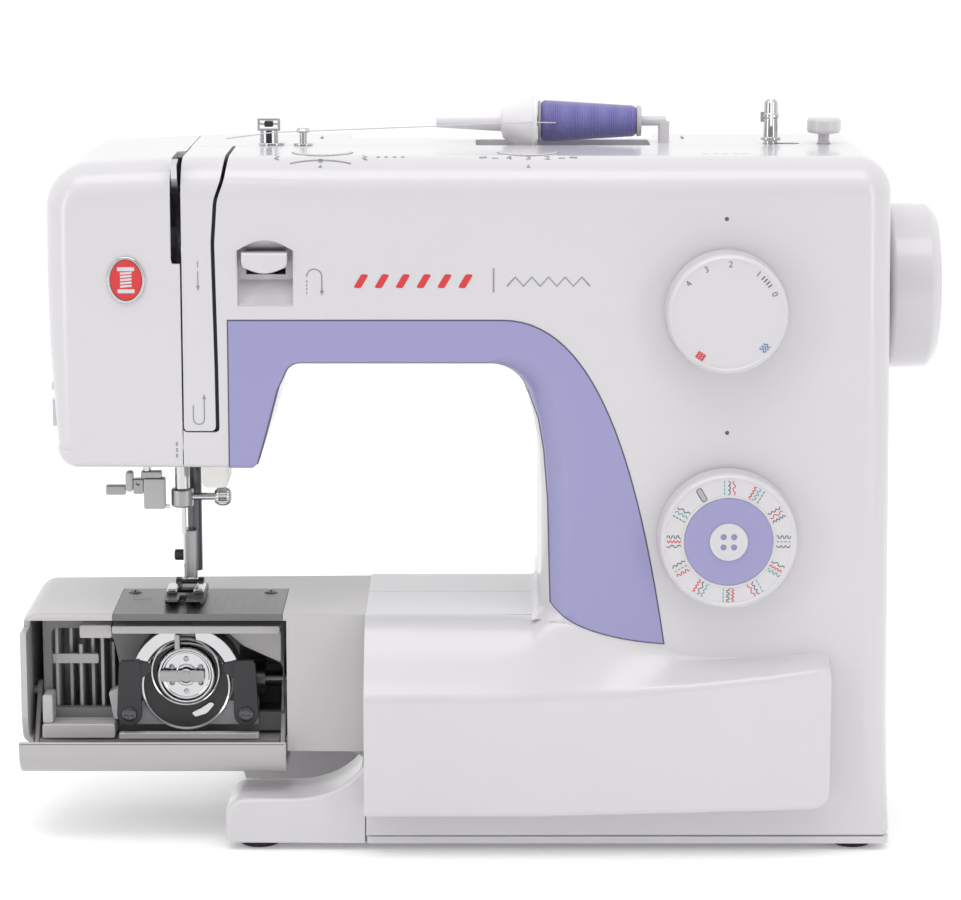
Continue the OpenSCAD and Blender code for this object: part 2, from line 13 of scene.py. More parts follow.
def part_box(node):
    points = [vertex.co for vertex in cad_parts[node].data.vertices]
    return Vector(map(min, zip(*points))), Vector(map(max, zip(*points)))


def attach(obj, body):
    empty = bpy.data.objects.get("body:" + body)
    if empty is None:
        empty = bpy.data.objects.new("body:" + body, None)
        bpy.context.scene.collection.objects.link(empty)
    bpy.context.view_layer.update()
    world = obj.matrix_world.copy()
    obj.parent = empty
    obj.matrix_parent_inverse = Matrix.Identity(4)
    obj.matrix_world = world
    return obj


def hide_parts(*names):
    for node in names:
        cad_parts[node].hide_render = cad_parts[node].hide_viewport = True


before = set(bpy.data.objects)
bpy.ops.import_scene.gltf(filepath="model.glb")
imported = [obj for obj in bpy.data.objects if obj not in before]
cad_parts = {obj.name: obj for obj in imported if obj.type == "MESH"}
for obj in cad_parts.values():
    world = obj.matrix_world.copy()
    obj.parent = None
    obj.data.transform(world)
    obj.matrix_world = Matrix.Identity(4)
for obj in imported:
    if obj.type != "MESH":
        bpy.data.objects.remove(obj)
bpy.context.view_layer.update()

MM = 0.001
SEAM = 0.15          # half of the gap between two casings
WALL = 2.5


# ---- places from the frame ---------------------------------------------------
def mm_box(node):
    """Lowest and highest corner of a CAD node, in millimetres."""
    low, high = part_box(node)
    return low / MM, high / MM


def mm_centre(node):
    low, high = mm_box(node)
    return (low + high) / 2


FRONT_Y = mm_box("front_shell")[0].y
BACK_Y = mm_box("rear_shell")[1].y
TOP_Z = mm_box("front_shell")[1].z
RIGHT_X = mm_box("front_shell")[1].x
ARM_LOW, ARM_HIGH = mm_box("free_arm_shell")
ARM_LEFT = ARM_LOW.x
BED_Z = ARM_HIGH.z
ROOT_X = ARM_HIGH.x + 0.2
BASE_FRONT = mm_box("front_base_cover")[0].y
COVER_LOW = mm_box("front_base_cover")[0].z
FOOT_H = mm_box("rubber_feet")[1].z
SHELL_LOW = mm_box("front_shell")[0].z
SPLIT_Y = mm_box("front_shell")[1].y + 0.1
SLOT_X = mm_box("face_cover")[1].x + 0.4
HOOK = mm_centre("bobbin")
STITCH = mm_centre("stitch_dial_knob")
LENGTH = mm_centre("length_dial_knob")
WHEEL = mm_centre("handwheel")
SPOOL = mm_centre("thread_spool")
PLATE_LOW, PLATE_HIGH = mm_box("needle_plate")
STRIP_LOW = mm_box("takeup_cover")[0].z
WINDER = mm_centre("winder_spindle")
BADGE = Vector((-141.7, FRONT_Y, 235.5))
DOOR_PIVOT = (-20, 57.2)         # y, z of the hook cover's hinge line
LATCH_X = {"left": -145.8, "right": -97.6}
LATCH_Z = 52.5
TUBS = [((-3, -3.5), (69, 22.9), 279.2), ((-68.4, 25.2), (84.7, 56.6), 273.8), ((5, 1.0), (25, 19.0), 277.3)]


# ---- outlines ----------------------------------------------------------------
def arc(cu, cv, r, a0, a1, n=12, w0=0.0, w1=None):
    """Points (u, v, rim width) along an arc; angles in degrees."""
    w1 = w0 if w1 is None else w1
    points = []
    for i in range(n + 1):
        a = math.radians(a0 + (a1 - a0) * i / n)
        points.append((cu + r * math.cos(a), cv + r * math.sin(a), w0 + (w1 - w0) * i / n))
    return points


def flat(points):
    """The points without their rim widths."""
    return [p[:2] for p in points]


def bezier(p0, p1, p2, p3, n=16, w=0.0):
    points = []
    for i in range(n + 1):
        t = i / n
        s = 1 - t
        k = (s ** 3, 3 * s * s * t, 3 * s * t * t, t ** 3)
        points.append((sum(a * p[0] for a, p in zip(k, (p0, p1, p2, p3))),
                       sum(a * p[1] for a, p in zip(k, (p0, p1, p2, p3))), w))
    return points


def soften(points, radius, closed=True, n=4, w=0.0):
    """Rounds the corners of a polyline of (u, v) or (u, v, w) points."""
    count = len(points)
    result = []
    for i, p in enumerate(points):
        width = p[2] if len(p) > 2 else w
        here = Vector(p[:2])
        if not closed and i in (0, count - 1):
            result.append((here.x, here.y, width))
            continue
        before = Vector(points[i - 1][:2]) - here
        after = Vector(points[(i + 1) % count][:2]) - here
        start = here + before.normalized() * min(radius, before.length * 0.49)
        end = here + after.normalized() * min(radius, after.length * 0.49)
        for k in range(n + 1):
            t = k / n
            q = start * (1 - t) ** 2 + here * (2 * t * (1 - t)) + end * t * t
            result.append((q.x, q.y, width))
    return result


def rectangle(u0, v0, u1, v1, radius=0.0, w=0.0):
    corners = [(u0, v0), (u1, v0), (u1, v1), (u0, v1)]
    if radius:
        return soften(corners, radius, n=5, w=w)
    return [(u, v, w) for u, v in corners]


def circle(cu, cv, r, n=96, w=0.0):
    return arc(cu, cv, r, 0, 360 - 360 / n, n - 1, w)


def tidy_outline(points):
    """Drops repeated points and makes the loop run anticlockwise."""
    kept = []
    for p in points:
        p = (p[0], p[1], p[2] if len(p) > 2 else 0.0)
        if not kept or math.dist(p[:2], kept[-1][:2]) > 0.02:
            kept.append(p)
    if math.dist(kept[0][:2], kept[-1][:2]) <= 0.02:
        kept.pop()
    area = sum(kept[i - 1][0] * p[1] - p[0] * kept[i - 1][1] for i, p in enumerate(kept))
    return kept if area > 0 else kept[::-1]


def inset(points, amounts):
    """Moves every point of an anticlockwise loop inwards by its own amount."""
    result = []
    count = len(points)
    for i, p in enumerate(points):
        a = (Vector(p[:2]) - Vector(points[i - 1][:2])).normalized()
        b = (Vector(points[(i + 1) % count][:2]) - Vector(p[:2])).normalized()
        na, nb = Vector((-a.y, a.x)), Vector((-b.y, b.x))
        m = (na + nb) / max(1 + na.dot(nb), 0.4)
        result.append((p[0] + m.x * amounts[i], p[1] + m.y * amounts[i], p[2]))
    return result


def shrunk(points, amount):
    """The loop drawn in all round, with its rims narrowed to match."""
    points = tidy_outline(points)
    moved = inset(points, [amount] * len(points))
    return [(u, v, max(w - amount, 0.2) if w else 0.0) for u, v, w in moved]


# ---- solids ------------------------------------------------------------------
PLACE = {
    "x": lambda u, v, t: (t, u, v),
    "y": lambda u, v, t: (u, t, v),
    "z": lambda u, v, t: (u, v, t),
}


def linked(name, data):
    """A new object of the scene."""
    obj = bpy.data.objects.new(name, data)
    bpy.context.scene.collection.objects.link(obj)
    return obj


def mesh_object(name, verts, faces):
    mesh = bpy.data.meshes.new(name)
    mesh.from_pydata([tuple(c * MM for c in v) for v in verts], [], faces)
    made = bmesh.new()
    made.from_mesh(mesh)
    bmesh.ops.remove_doubles(made, verts=made.verts, dist=1e-7)
    bmesh.ops.recalc_face_normals(made, faces=made.faces)
    made.to_mesh(mesh)
    made.free()
    return linked(name, mesh)


def loft(name, rings, closed=False):
    """Skins a list of rings with the same number of points."""
    n = len(rings[0])
    verts = [p for ring in rings for p in ring]
    faces = []
    for r in range(len(rings) if closed else len(rings) - 1):
        base, above = r * n, (r + 1) % len(rings) * n
        faces += [(base + i, base + (i + 1) % n, above + (i + 1) % n, above + i) for i in range(n)]
    if not closed:
        faces += [tuple(range(n))[::-1], tuple(range(len(verts) - n, len(verts)))]
    return mesh_object(name, verts, faces)


def prism(name, points, t0, t1, axis="y", steps=6, ends=(1.0, 1.0)):
    """Extrudes a loop along an axis; its rims are rounded by each point's own width."""
    points = tidy_outline(points)
    widths = [p[2] for p in points]
    place = PLACE[axis]
    if max(widths) == 0:
        return loft(name, [[place(u, v, t) for u, v, _ in points] for t in (t0, t1)])
    rings = []
    for t, sign, scale, order in ((t0, 1, ends[0], range(steps + 1)),
                                  (t1, -1, ends[1], range(steps, -1, -1))):
        if scale == 0:
            rings.append([place(u, v, t) for u, v, _ in points])
            continue
        for k in order:
            a = math.pi / 2 * k / steps
            loop = inset(points, [w * scale * (1 - math.sin(a)) for w in widths])
            rings.append([place(p[0], p[1], t + sign * w * scale * (1 - math.cos(a)))
                          for p, w in zip(loop, widths)])
    return loft(name, rings)


def block(name, low, high, radius=0.0, axis="z", rim=0.0):
    """A box; `radius` rounds the edges along the axis, `rim` those round its ends."""
    pick = {"x": (1, 2, 0), "y": (0, 2, 1), "z": (0, 1, 2)}[axis]
    u0, v0, t0 = (low[i] for i in pick)
    u1, v1, t1 = (high[i] for i in pick)
    return prism(name, rectangle(u0, v0, u1, v1, radius, rim), t0, t1, axis, steps=4)


def full_turn(steps):
    """Even steps round a circle, in radians."""
    return [2 * math.pi * i / steps for i in range(steps)]


def lathe(name, profile, centre, axis="y", segments=96, closed=False):
    """Turns (position along the axis, radius) points round a line through `centre`."""
    place = PLACE[axis]
    rings = []
    for t, r in profile:
        r = max(r, 0.004)
        rings.append([place(centre[0] + r * math.cos(a), centre[1] + r * math.sin(a), t)
                      for a in full_turn(segments)])
    return loft(name, rings, closed)


def turned(name, profile, centre, axis="y", round_by=0.0, segments=96, closed=False):
    if round_by:
        profile = flat(soften(profile, round_by, closed=closed, n=5))
    return lathe(name, profile, centre, axis, segments, closed)


def boolean(obj, tool, how="DIFFERENCE"):
    modifier = obj.modifiers.new("cut", "BOOLEAN")
    modifier.operation = how
    modifier.solver = "EXACT"
    modifier.object = tool
    graph = bpy.context.evaluated_depsgraph_get()
    result = bpy.data.meshes.new_from_object(obj.evaluated_get(graph))
    obj.modifiers.clear()
    obj.data = result
    bpy.data.objects.remove(tool)
    return obj


def cut(obj, *tools):
    for tool in tools:
        boolean(obj, tool)
    return obj


def join(name, objects):
    """One object from several that don't overlap."""
    made = bmesh.new()
    for obj in objects:
        made.from_mesh(obj.data)
        bpy.data.objects.remove(obj)
    mesh = bpy.data.meshes.new(name)
    made.to_mesh(mesh)
    made.free()
    return linked(name, mesh)


def finish_piece(obj, name, material, body="housing", replaces=(), slot=None, smooth=32):
    """Names, shades and paints a piece, and puts it on its body.

    The slot, the piece's own or else the one that SLOTS gives for its material, is looked up and not used
    further.
    """
    slot = slot or SLOTS[material.name]
    obj.name = name
    obj.data.name = name
    obj.data.materials.clear()
    obj.data.materials.append(material)
    obj.data.polygons.foreach_set("material_index", [0] * len(obj.data.polygons))
    obj.data.shade_smooth()
    obj.data.set_sharp_from_angle(angle=math.radians(smooth))
    weighted = obj.modifiers.new("normals", "WEIGHTED_NORMAL")
    weighted.keep_sharp = True
    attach(obj, body)
    if replaces:
        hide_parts(*replaces)
    return obj


# ---- materials ---------------------------------------------------------------
def new_material(name):
    material = bpy.data.materials.new(name)
    material.use_nodes = True
    nodes = material.node_tree.nodes
    return material, nodes, material.node_tree.links, nodes["Principled BSDF"]


def noise(nodes, links, scale, detail=3.0, stretch=(1, 1, 1)):
    """Noise in the object's own metres."""
    coordinates = nodes.new("ShaderNodeTexCoord")
    mapping = nodes.new("ShaderNodeMapping")
    mapping.inputs["Scale"].default_value = stretch
    texture = nodes.new("ShaderNodeTexNoise")
    texture.inputs["Scale"].default_value = scale
    texture.inputs["Detail"].default_value = detail
    links.new(coordinates.outputs["Object"], mapping.inputs["Vector"])
    links.new(mapping.outputs["Vector"], texture.inputs["Vector"])
    return texture


def ramp(nodes, links, source, stops):
    made = nodes.new("ShaderNodeValToRGB")
    while len(made.color_ramp.elements) < len(stops):
        made.color_ramp.elements.new(0.5)
    for element, (position, colour) in zip(made.color_ramp.elements, stops):
        element.position = position
        element.color = (*colour, 1)
    links.new(source, made.inputs["Fac"])
    return made


def spread(nodes, links, source, low, high):
    made = nodes.new("ShaderNodeMapRange")
    made.inputs["To Min"].default_value = low
    made.inputs["To Max"].default_value = high
    links.new(source, made.inputs["Value"])
    return made


def add_relief(nodes, links, shader, source, strength, distance):
    relief = nodes.new("ShaderNodeBump")
    relief.inputs["Strength"].default_value = strength
    relief.inputs["Distance"].default_value = distance
    links.new(source, relief.inputs["Height"])
    links.new(relief.outputs["Normal"], shader.inputs["Normal"])


def surface(name, colour, rough, vary=0.02, grain=900.0, bump=0.03, metallic=0.0, coat=0.0,
            stretch=(1, 1, 1), cloud=14.0, specular=0.5, subsurface=0.0, depth=0.0002):
    """General finish: cloudy colour, uneven roughness and a fine moulded or brushed grain."""
    material, nodes, links, shader = new_material(name)
    clouds = noise(nodes, links, cloud)
    tint = ramp(nodes, links, clouds.outputs["Fac"],
                [(0.3, tuple(c * (1 - vary) for c in colour)),
                 (0.7, tuple(min(1, c * (1 + vary)) for c in colour))])
    links.new(tint.outputs["Color"], shader.inputs["Base Color"])
    patches = noise(nodes, links, cloud * 4, 4.0, stretch)
    uneven = spread(nodes, links, patches.outputs["Fac"], rough * 0.92, rough * 1.08)
    links.new(uneven.outputs["Result"], shader.inputs["Roughness"])
    fine = noise(nodes, links, grain, 2.0, stretch)
    add_relief(nodes, links, shader, fine.outputs["Fac"], bump, depth)
    shader.inputs["Metallic"].default_value = metallic
    shader.inputs["Coat Weight"].default_value = coat
    shader.inputs["Coat Roughness"].default_value = 0.12
    shader.inputs["Specular IOR Level"].default_value = specular
    if subsurface:
        shader.inputs["Subsurface Weight"].default_value = subsurface
        shader.inputs["Subsurface Radius"].default_value = (0.002, 0.0018, 0.0018)
    return material


def wound_thread(name, colour):
    """Thread laid side by side round a spool that lies along X."""
    material, nodes, links, shader = new_material(name)
    coordinates = nodes.new("ShaderNodeTexCoord")
    wave = nodes.new("ShaderNodeTexWave")
    wave.bands_direction = "X"
    for socket, value in (("Scale", 420), ("Distortion", 1.2), ("Detail", 2), ("Detail Scale", 3)):
        wave.inputs[socket].default_value = value
    links.new(coordinates.outputs["Object"], wave.inputs["Vector"])
    shade = ramp(nodes, links, wave.outputs["Fac"],
                 [(0.0, tuple(c * 0.72 for c in colour)), (1.0, tuple(min(1, c * 1.2) for c in colour))])
    links.new(shade.outputs["Color"], shader.inputs["Base Color"])
    add_relief(nodes, links, shader, wave.outputs["Fac"], 0.5, 0.0002)
    shader.inputs["Roughness"].default_value = 0.42
    shader.inputs["Sheen Weight"].default_value = 0.4
    return material


WHITE = surface("white_plastic_gloss", (0.60, 0.585, 0.605), 0.30, 0.012, 1100, 0.02, coat=0.5)
# Darker copy of the white plastic: painted shade for the free arm, the bed and the rail inside the arm, under
# the head.
SHADED_BED_WHITE = surface("bed_plastic_painted_shade", (0.50, 0.486, 0.495), 0.34, 0.015, 1100, 0.03, coat=0.1)
# Still darker copy of the white plastic: painted shade for the open hook cover under the arm.
SHADED_DOOR_WHITE = surface("door_plastic_painted_shade", (0.45, 0.435, 0.44), 0.36, 0.015, 1100, 0.03)
# Dark grey for the wall behind the hook: painted shade for the dark inside of the compartment.
SHADE = surface("compartment_plastic_painted_shade", (0.20, 0.193, 0.197), 0.5, 0.05, 900, 0.06)
LILAC = surface("lilac_plastic_gloss", (0.285, 0.272, 0.490), 0.26, 0.012, 1100, 0.02, coat=0.3)
LILAC_LINE = surface("lilac_seam_shadow", (0.10, 0.09, 0.15), 0.6, 0.05, 900, 0.05)
# Lighter copy of the white plastic: painted light for the top light that the spool cap catches.
LIT_CAP_WHITE = surface("cap_plastic_painted_light", (0.78, 0.765, 0.785), 0.32, 0.012, 1100, 0.02, coat=0.3)
GREY = surface("grey_plastic_satin", (0.50, 0.49, 0.50), 0.42, 0.03, 900, 0.06)
POCKET = surface("recess_plastic", (0.60, 0.585, 0.60), 0.45, 0.03, 900, 0.05)
BLACK = surface("black_plastic_matte", (0.022, 0.022, 0.025), 0.42, 0.1, 1400, 0.12)
RUBBER = surface("black_rubber", (0.018, 0.018, 0.018), 0.75, 0.12, 1800, 0.25)
CHROME = surface("polished_chrome", (0.56, 0.56, 0.57), 0.13, 0.03, 700, 0.02, metallic=1.0)
STEEL = surface("ground_steel", (0.36, 0.355, 0.36), 0.3, 0.05, 420, 0.10, metallic=1.0, stretch=(1, 14, 1))
PLATE = surface("brushed_plate", (0.19, 0.182, 0.186), 0.36, 0.05, 300, 0.16, metallic=0.9,
                stretch=(1, 40, 1))
DARK_STEEL = surface("oiled_steel", (0.11, 0.11, 0.12), 0.32, 0.1, 500, 0.1, metallic=1.0)
CAST = surface("cast_metal_rough", (0.34, 0.34, 0.36), 0.55, 0.08, 600, 0.5, metallic=0.7)
LENS = surface("frosted_lens", (0.84, 0.83, 0.80), 0.5, 0.02, 900, 0.1, subsurface=0.3)
BELT = surface("belt_rubber", (0.03, 0.03, 0.03), 0.65, 0.1, 1500, 0.3)
INK = surface("grey_print", (0.10, 0.10, 0.11), 0.5, 0.12, 2500, 0.1)
SOFT_INK = surface("pale_grey_print", (0.26, 0.26, 0.28), 0.5, 0.08, 2500, 0.1)
RED_INK = surface("red_print", (0.60, 0.035, 0.04), 0.42, 0.06, 2500, 0.1)
TEAL_INK = surface("teal_print", (0.07, 0.33, 0.38), 0.45, 0.06, 2500, 0.1)
BLUE_INK = surface("blue_print", (0.06, 0.22, 0.45), 0.45, 0.06, 2500, 0.1)
THREAD = wound_thread("violet_thread", (0.165, 0.150, 0.42))
LOOSE_THREAD = surface("pale_thread", (0.62, 0.60, 0.66), 0.5, 0.05, 3000, 0.4)

# The frame's material slot that goes with each material, unless a piece names another one.
SLOTS = {}
for slot_name, members in (("white_plastic", (WHITE, SHADED_BED_WHITE, SHADED_DOOR_WHITE, LIT_CAP_WHITE, POCKET)),
                           ("grey_plastic", (SHADE, GREY)), ("lilac_plastic", (LILAC, LILAC_LINE)),
                           ("black_plastic", (BLACK, INK, SOFT_INK, RED_INK, TEAL_INK, BLUE_INK)),
                           ("steel", (CHROME, STEEL, PLATE, DARK_STEEL)), ("rubber", (RUBBER,)),
                           ("lens", (LENS,)), ("thread", (THREAD, LOOSE_THREAD))):
    for member in members:
        SLOTS[member.name] = slot_name


# ---- the C-shaped housing ----------------------------------------------------
TOP_RIM = 16.0       # rounding of the top edges, front and back
SIDE_RIM = 12.0      # rounding of the outer upright edges
COLUMN_RIM = 18.0    # rounding of the column's edge beside the opening
EDGE_RIM = 2.0       # crisp edges round the opening and under the head


def body_outline():
    """Front view of the housing as (x, z, rim width)."""
    corner = 14
    right_top = RIGHT_X - 3.5
    return (
        [(ROOT_X, SHELL_LOW, 1.0)]
        + arc(RIGHT_X - 3, SHELL_LOW + 3, 3, -90, 0, 5, 1.5, 2.5)
        + [(RIGHT_X - 0.3, 26, 8), (RIGHT_X - 0.7, 55, SIDE_RIM), (RIGHT_X - 2, 160, SIDE_RIM)]
        + arc(right_top - corner, TOP_Z - corner, corner, 0, 90, 16, SIDE_RIM, 15)
        + [(60, TOP_Z, TOP_RIM), (-30, TOP_Z, TOP_RIM), (-112, TOP_Z, TOP_RIM)]
        + arc(-156, TOP_Z - 20.3, 18, 95, 180, 16, 15, SIDE_RIM)
        + [(-174.3, 235, SIDE_RIM), (-173.7, 207, 11), (-170.7, 168, 6.5)]
        + arc(-163, 167.5, 8, 180, 270, 10, 6, 3)
        + [(-93, 159.5, EDGE_RIM), (-90.2, 161, EDGE_RIM), (-87.3, 171, EDGE_RIM)]
        + [(-81.9, 191.2, EDGE_RIM)]
        + arc(-73, 195.5, 6.2, 165, 90, 8, EDGE_RIM)
        + arc(1, 184.7, 17, 90, 15, 14, EDGE_RIM, COLUMN_RIM)
        + [(20.5, 178, COLUMN_RIM), (22.8, 164, COLUMN_RIM), (23.6, 145, COLUMN_RIM)]
        + [(23.4, 126, COLUMN_RIM), (23.3, BED_Z + 4, COLUMN_RIM)]
        + arc(19.3, BED_Z + 4, 4, 0, -90, 6, COLUMN_RIM, EDGE_RIM)
        + [(ROOT_X, BED_Z, EDGE_RIM)]
    )


OUTLINE = body_outline()


def housing(name, grow=0.0, front=FRONT_Y, back=BACK_Y):
    """The whole housing as a solid, drawn in by -grow."""
    loop = tidy_outline(OUTLINE)
    if grow:
        loop = shrunk(loop, -grow)
    return prism(name, loop, front - grow, back + grow, steps=8)


def housing_shell(name, keep_in=(), fall=False):
    """The housing as a hollow casing; `keep_in` are blocks that stay solid."""
    inner = housing("inner", -WALL)
    outer = housing(name)
    cut(inner, *keep_in)
    if fall:
        cut(outer, rear_fall(0))
        cut(inner, rear_fall(WALL))
    return cut(outer, inner)


def rear_fall(drop):
    """What is taken off behind the arm, where the bed slopes down to the back."""
    side = [(ARM_HIGH.y + 1, BED_Z + 0.01 - drop, 0), (ARM_HIGH.y + 6, BED_Z - 0.6 - drop, 0),
            (BACK_Y + 3, BED_Z - 12 - drop, 0), (BACK_Y + 3, BED_Z + 6, 0), (ARM_HIGH.y + 1, BED_Z + 6, 0)]
    return prism("fall", side, ROOT_X - 2, 22.9 + drop, "x")


def far_box(x0, x1, y0, y1, z0, z1):
    return block("cutter", (x0, y0, z0), (x1, y1, z1))


def strip_zone(side_gap, low, y0, y1):
    """Outline of the strip beside the take-up slot; its right edge leans over at the top."""
    right = [(-105.6, 200), (-106.5, 250), (-105.3, 267), (-102.5, 275), (-101.2, 283), (-100.8, 300)]
    loop = [(SLOT_X + side_gap - 0.15, low, 0)]
    loop += [(p[0] - side_gap * 3.4, p[1], 0) for p in
             [(-105.4, low, 0)] + right]
    loop += [(SLOT_X + side_gap - 0.15, 300, 0)]
    return prism("strip_zone", soften(loop, 2.0, n=4), y0, y1)


def head_opening():
    return far_box(-158, -104, -36, 12, 150, 163)


def front_casing():
    body = housing_shell("front_casing")
    cut(body,
        far_box(-200, 200, SPLIT_Y - SEAM, 90, 0, 300),
        far_box(-200, SLOT_X, -90, 90, 150, 300),
        strip_zone(0.0, STRIP_LOW - 0.4, -90, SPLIT_Y),
        head_opening(),
        far_box(ROOT_X - 1, 23.4, -63, -47.9, COVER_LOW - 0.15, BED_Z + 0.05),
        far_box(ROOT_X - 1, ROOT_X + 4, -8, 22, 48, 88),
        prism("recess", recess_outline(0.0), -70, -50),
        turned("dial_hole", [(FRONT_Y - 5, 5), (-50, 5)], (STITCH.x, STITCH.z)),
        turned("dial_hole", [(FRONT_Y - 5, 5), (-50, 5)], (LENGTH.x, LENGTH.z)),
        turned("wheel_hole", [(150, 8), (180, 8)], (WHEEL.y, WHEEL.z), "x"))
    for node in ("tension_dial", "width_dial"):
        c = mm_centre(node)
        cut(body, turned("dial_hole", [(270, 12.4), (300, 12.4)], (c.x, c.y), "z"))
    cut_sockets(body)
    return finish_piece(body, "front_casing", WHITE, replaces=["front_shell"])


def cut_sockets(body):
    """Holes for the power inlet and the switch in the right-hand wall."""
    for node in ("inlet_socket", "power_switch"):
        low, high = mm_box(node)
        cut(body, far_box(148, 172, low.y - 0.3, high.y + 0.3, low.z - 0.3, high.z + 0.3))


def rear_casing():
    """Back half, with wells for the spool, the handle and the cap, the winder's slot and the vents."""
    solid = [block("tub", (a[0] - 2, a[1] - 2, z - 2), (b[0] + 2, b[1] + 2, 290)) for a, b, z in TUBS]
    body = housing_shell("rear_casing", solid, fall=True)
    for a, b, z in TUBS:
        cut(body, block("well", (a[0], a[1], z), (b[0], b[1], 300), 2.0))
    slot_plan = arc(WINDER.x, WINDER.y, 3.3, 90, 270, 10) + arc(WINDER.x + 9, WINDER.y, 3.3, -90, 90, 10)
    cut(body,
        far_box(-200, 200, -90, SPLIT_Y + SEAM, 0, 300),
        far_box(-200, SLOT_X, -90, 90, 150, 300),
        head_opening(),
        far_box(-119.5, -110.5, 24, 80, 150, 192),
        far_box(ROOT_X - 1, ROOT_X + 4, -8, 22, 48, 88),
        prism("winder_slot", slot_plan, 270, 300, "z"),
        turned("wheel_hole", [(150, 8), (180, 8)], (WHEEL.y, WHEEL.z), "x"))
    vents = [block("vent", (x, 50, 30), (x + 3, 80, 62), 1.2, "y") for x in range(40, 124, 7)]
    cut(body, join("vents", vents))
    return finish_piece(body, "rear_casing", WHITE, replaces=["rear_shell"])


def end_cover():
    body = housing_shell("end_cover")
    slot = [(-123.9, 300), (-123.9, 243.4), (-123.4, 241.8), (-110, 241.8), (-110, 300)]
    cut(body,
        far_box(SLOT_X - 0.4, 200, -90, 90, 0, 300),
        prism("slot", slot, -90, -24),
        head_opening())
    return finish_piece(body, "end_cover", WHITE, replaces=["face_cover"])


def strip_cover():
    body = housing_shell("strip_cover")
    boolean(body, strip_zone(0.45, STRIP_LOW + 0.2, -90, SPLIT_Y - 0.2), "INTERSECT")
    return finish_piece(body, "strip_cover", WHITE, replaces=["takeup_cover"])


def slot_shade_plates():
    """Black plates behind the two slots in the head: painted shade for their dark inside."""
    plates = [block("p", (-109.5, -58.8, 172), (-103.6, -57.6, 268)),
              block("p", (-109.5, -57.5, 262), (-99.5, -30, 270))]
    return finish_piece(join("slot_shade_plates", plates), "slot_shade_plates", BLACK)


def lilac_outline(grow=0.0):
    inner = [(27.5, 103.2), (26.9, 125), (26.4, 145), (24.8, 165), (22.6, 178), (18.3, 189.5)]
    loop = ([(-101.4, 159.4, 0), (-101.4, 219, 0)]
            + bezier((8, 219), (45, 219), (62, 160), (72.9, 87.4), 28)
            + bezier((72.9, 87.4), (50, 89), (34, 95), inner[0], 12)
            + [(u, v, 0) for u, v in inner]
            + arc(1, 184.7, 17.6, 15, 90, 12)
            + arc(-73, 195.5, 6.8, 90, 165, 8)
            + [(-82.4, 191.2, 0), (-87.8, 171, 0), (-90.7, 161, 0), (-92, 159.4, 0)])
    return shrunk(loop, -grow) if grow else loop


def lilac_panel():
    """A skin over the front that follows its rounding, with a thin shadow line round it."""
    for name, grow, proud, material in (("lilac_panel", 0.0, 0.45, LILAC),
                                        ("lilac_seam", 0.55, 0.12, LILAC_LINE)):
        skin = housing(name, proud)
        cut(skin, housing("under", -0.5))
        boolean(skin, prism("zone", lilac_outline(grow), -80, -44), "INTERSECT")
        if grow:
            cut(skin, prism("hole", lilac_outline(), -80, -44))
        finish_piece(skin, name, material, replaces=[] if grow else ["lilac_trim"])


# ---- free arm and base -------------------------------------------------------
def arm_loop(w):
    low, high = ARM_LOW.z, BED_Z
    right = ROOT_X - 0.05
    return ([(right, low, 0.15), (right, high, 0.15)]
            + arc(ARM_LEFT + 8, high - 8, 8, 90, 180, 10, w)
            + arc(ARM_LEFT + 5, low + 5, 5, 180, 270, 8, w))


def arm_casing():
    front, back = ARM_LOW.y, ARM_HIGH.y
    body = prism("arm_casing", arm_loop(2.5), front, back, ends=(1.0, 1.9))
    inner = prism("inner", shrunk(arm_loop(2.5), WALL), front + WALL, back - WALL, ends=(0.4, 1.0))
    cut(inner, far_box(-80, -78, -60, 40, 0, 120))
    lower = far_box(-191, -80.4, -49, DOOR_PIVOT[0], 30, DOOR_PIVOT[1])
    cut(lower, turned("keep", [(-195, 25.1), (-70, 25.1)], DOOR_PIVOT, "x"))
    cut(body, inner, lower,
        far_box(-191, -80.4, -49, -44.5, 30, BED_Z - WALL - 0.2),
        far_box(-191, -183.4, -49, -32, 87, BED_Z - WALL - 0.2),
        far_box(-186.4, -183.6, -45, -7, 30, 44),
        far_box(-84.4, -81.6, -45, -7, 30, 44),
        far_box(PLATE_LOW.x - 0.2, PLATE_HIGH.x + 0.2, -49, PLATE_HIGH.y + 0.2, 90, 100))
    root = ROOT_X - 0.05
    fillet = [(root - 12, ARM_LOW.z + 0.5), (root - 6, ARM_LOW.z - 0.6), (root, ARM_LOW.z - 3.7),
              (root, ARM_LOW.z + 0.5)]
    boolean(body, prism("fillet", fillet, front + 3, back - 3), "UNION")
    return finish_piece(body, "arm_casing", SHADED_BED_WHITE, replaces=["free_arm_shell"])


def base_casing():
    low, high = mm_box("base_tray")
    back = high.y
    body = block("plate", (ROOT_X - 0.2, FRONT_Y, FOOT_H), (RIGHT_X, back, SHELL_LOW - 0.1), 3)
    for y0 in (FRONT_Y, back - 32):
        side = ([(low.x + 2, FOOT_H, 1.5), (ROOT_X - 0.2, FOOT_H, 0.3), (ROOT_X - 0.2, 35, 0.3)]
                + bezier((-49.5, 35), (-54, 29), (-62, 21.9), (-78, 21.8), 12, 2.0)
                + [(-92, 21.8, 2.6)] + arc(low.x + 8, 13.8, 8, 90, 180, 8, 3) + [(low.x + 0.6, 7, 2)])
        boolean(body, prism("lobe", side, y0, y0 + 32), "UNION")
    return finish_piece(body, "base_casing", WHITE, replaces=["base_tray"])


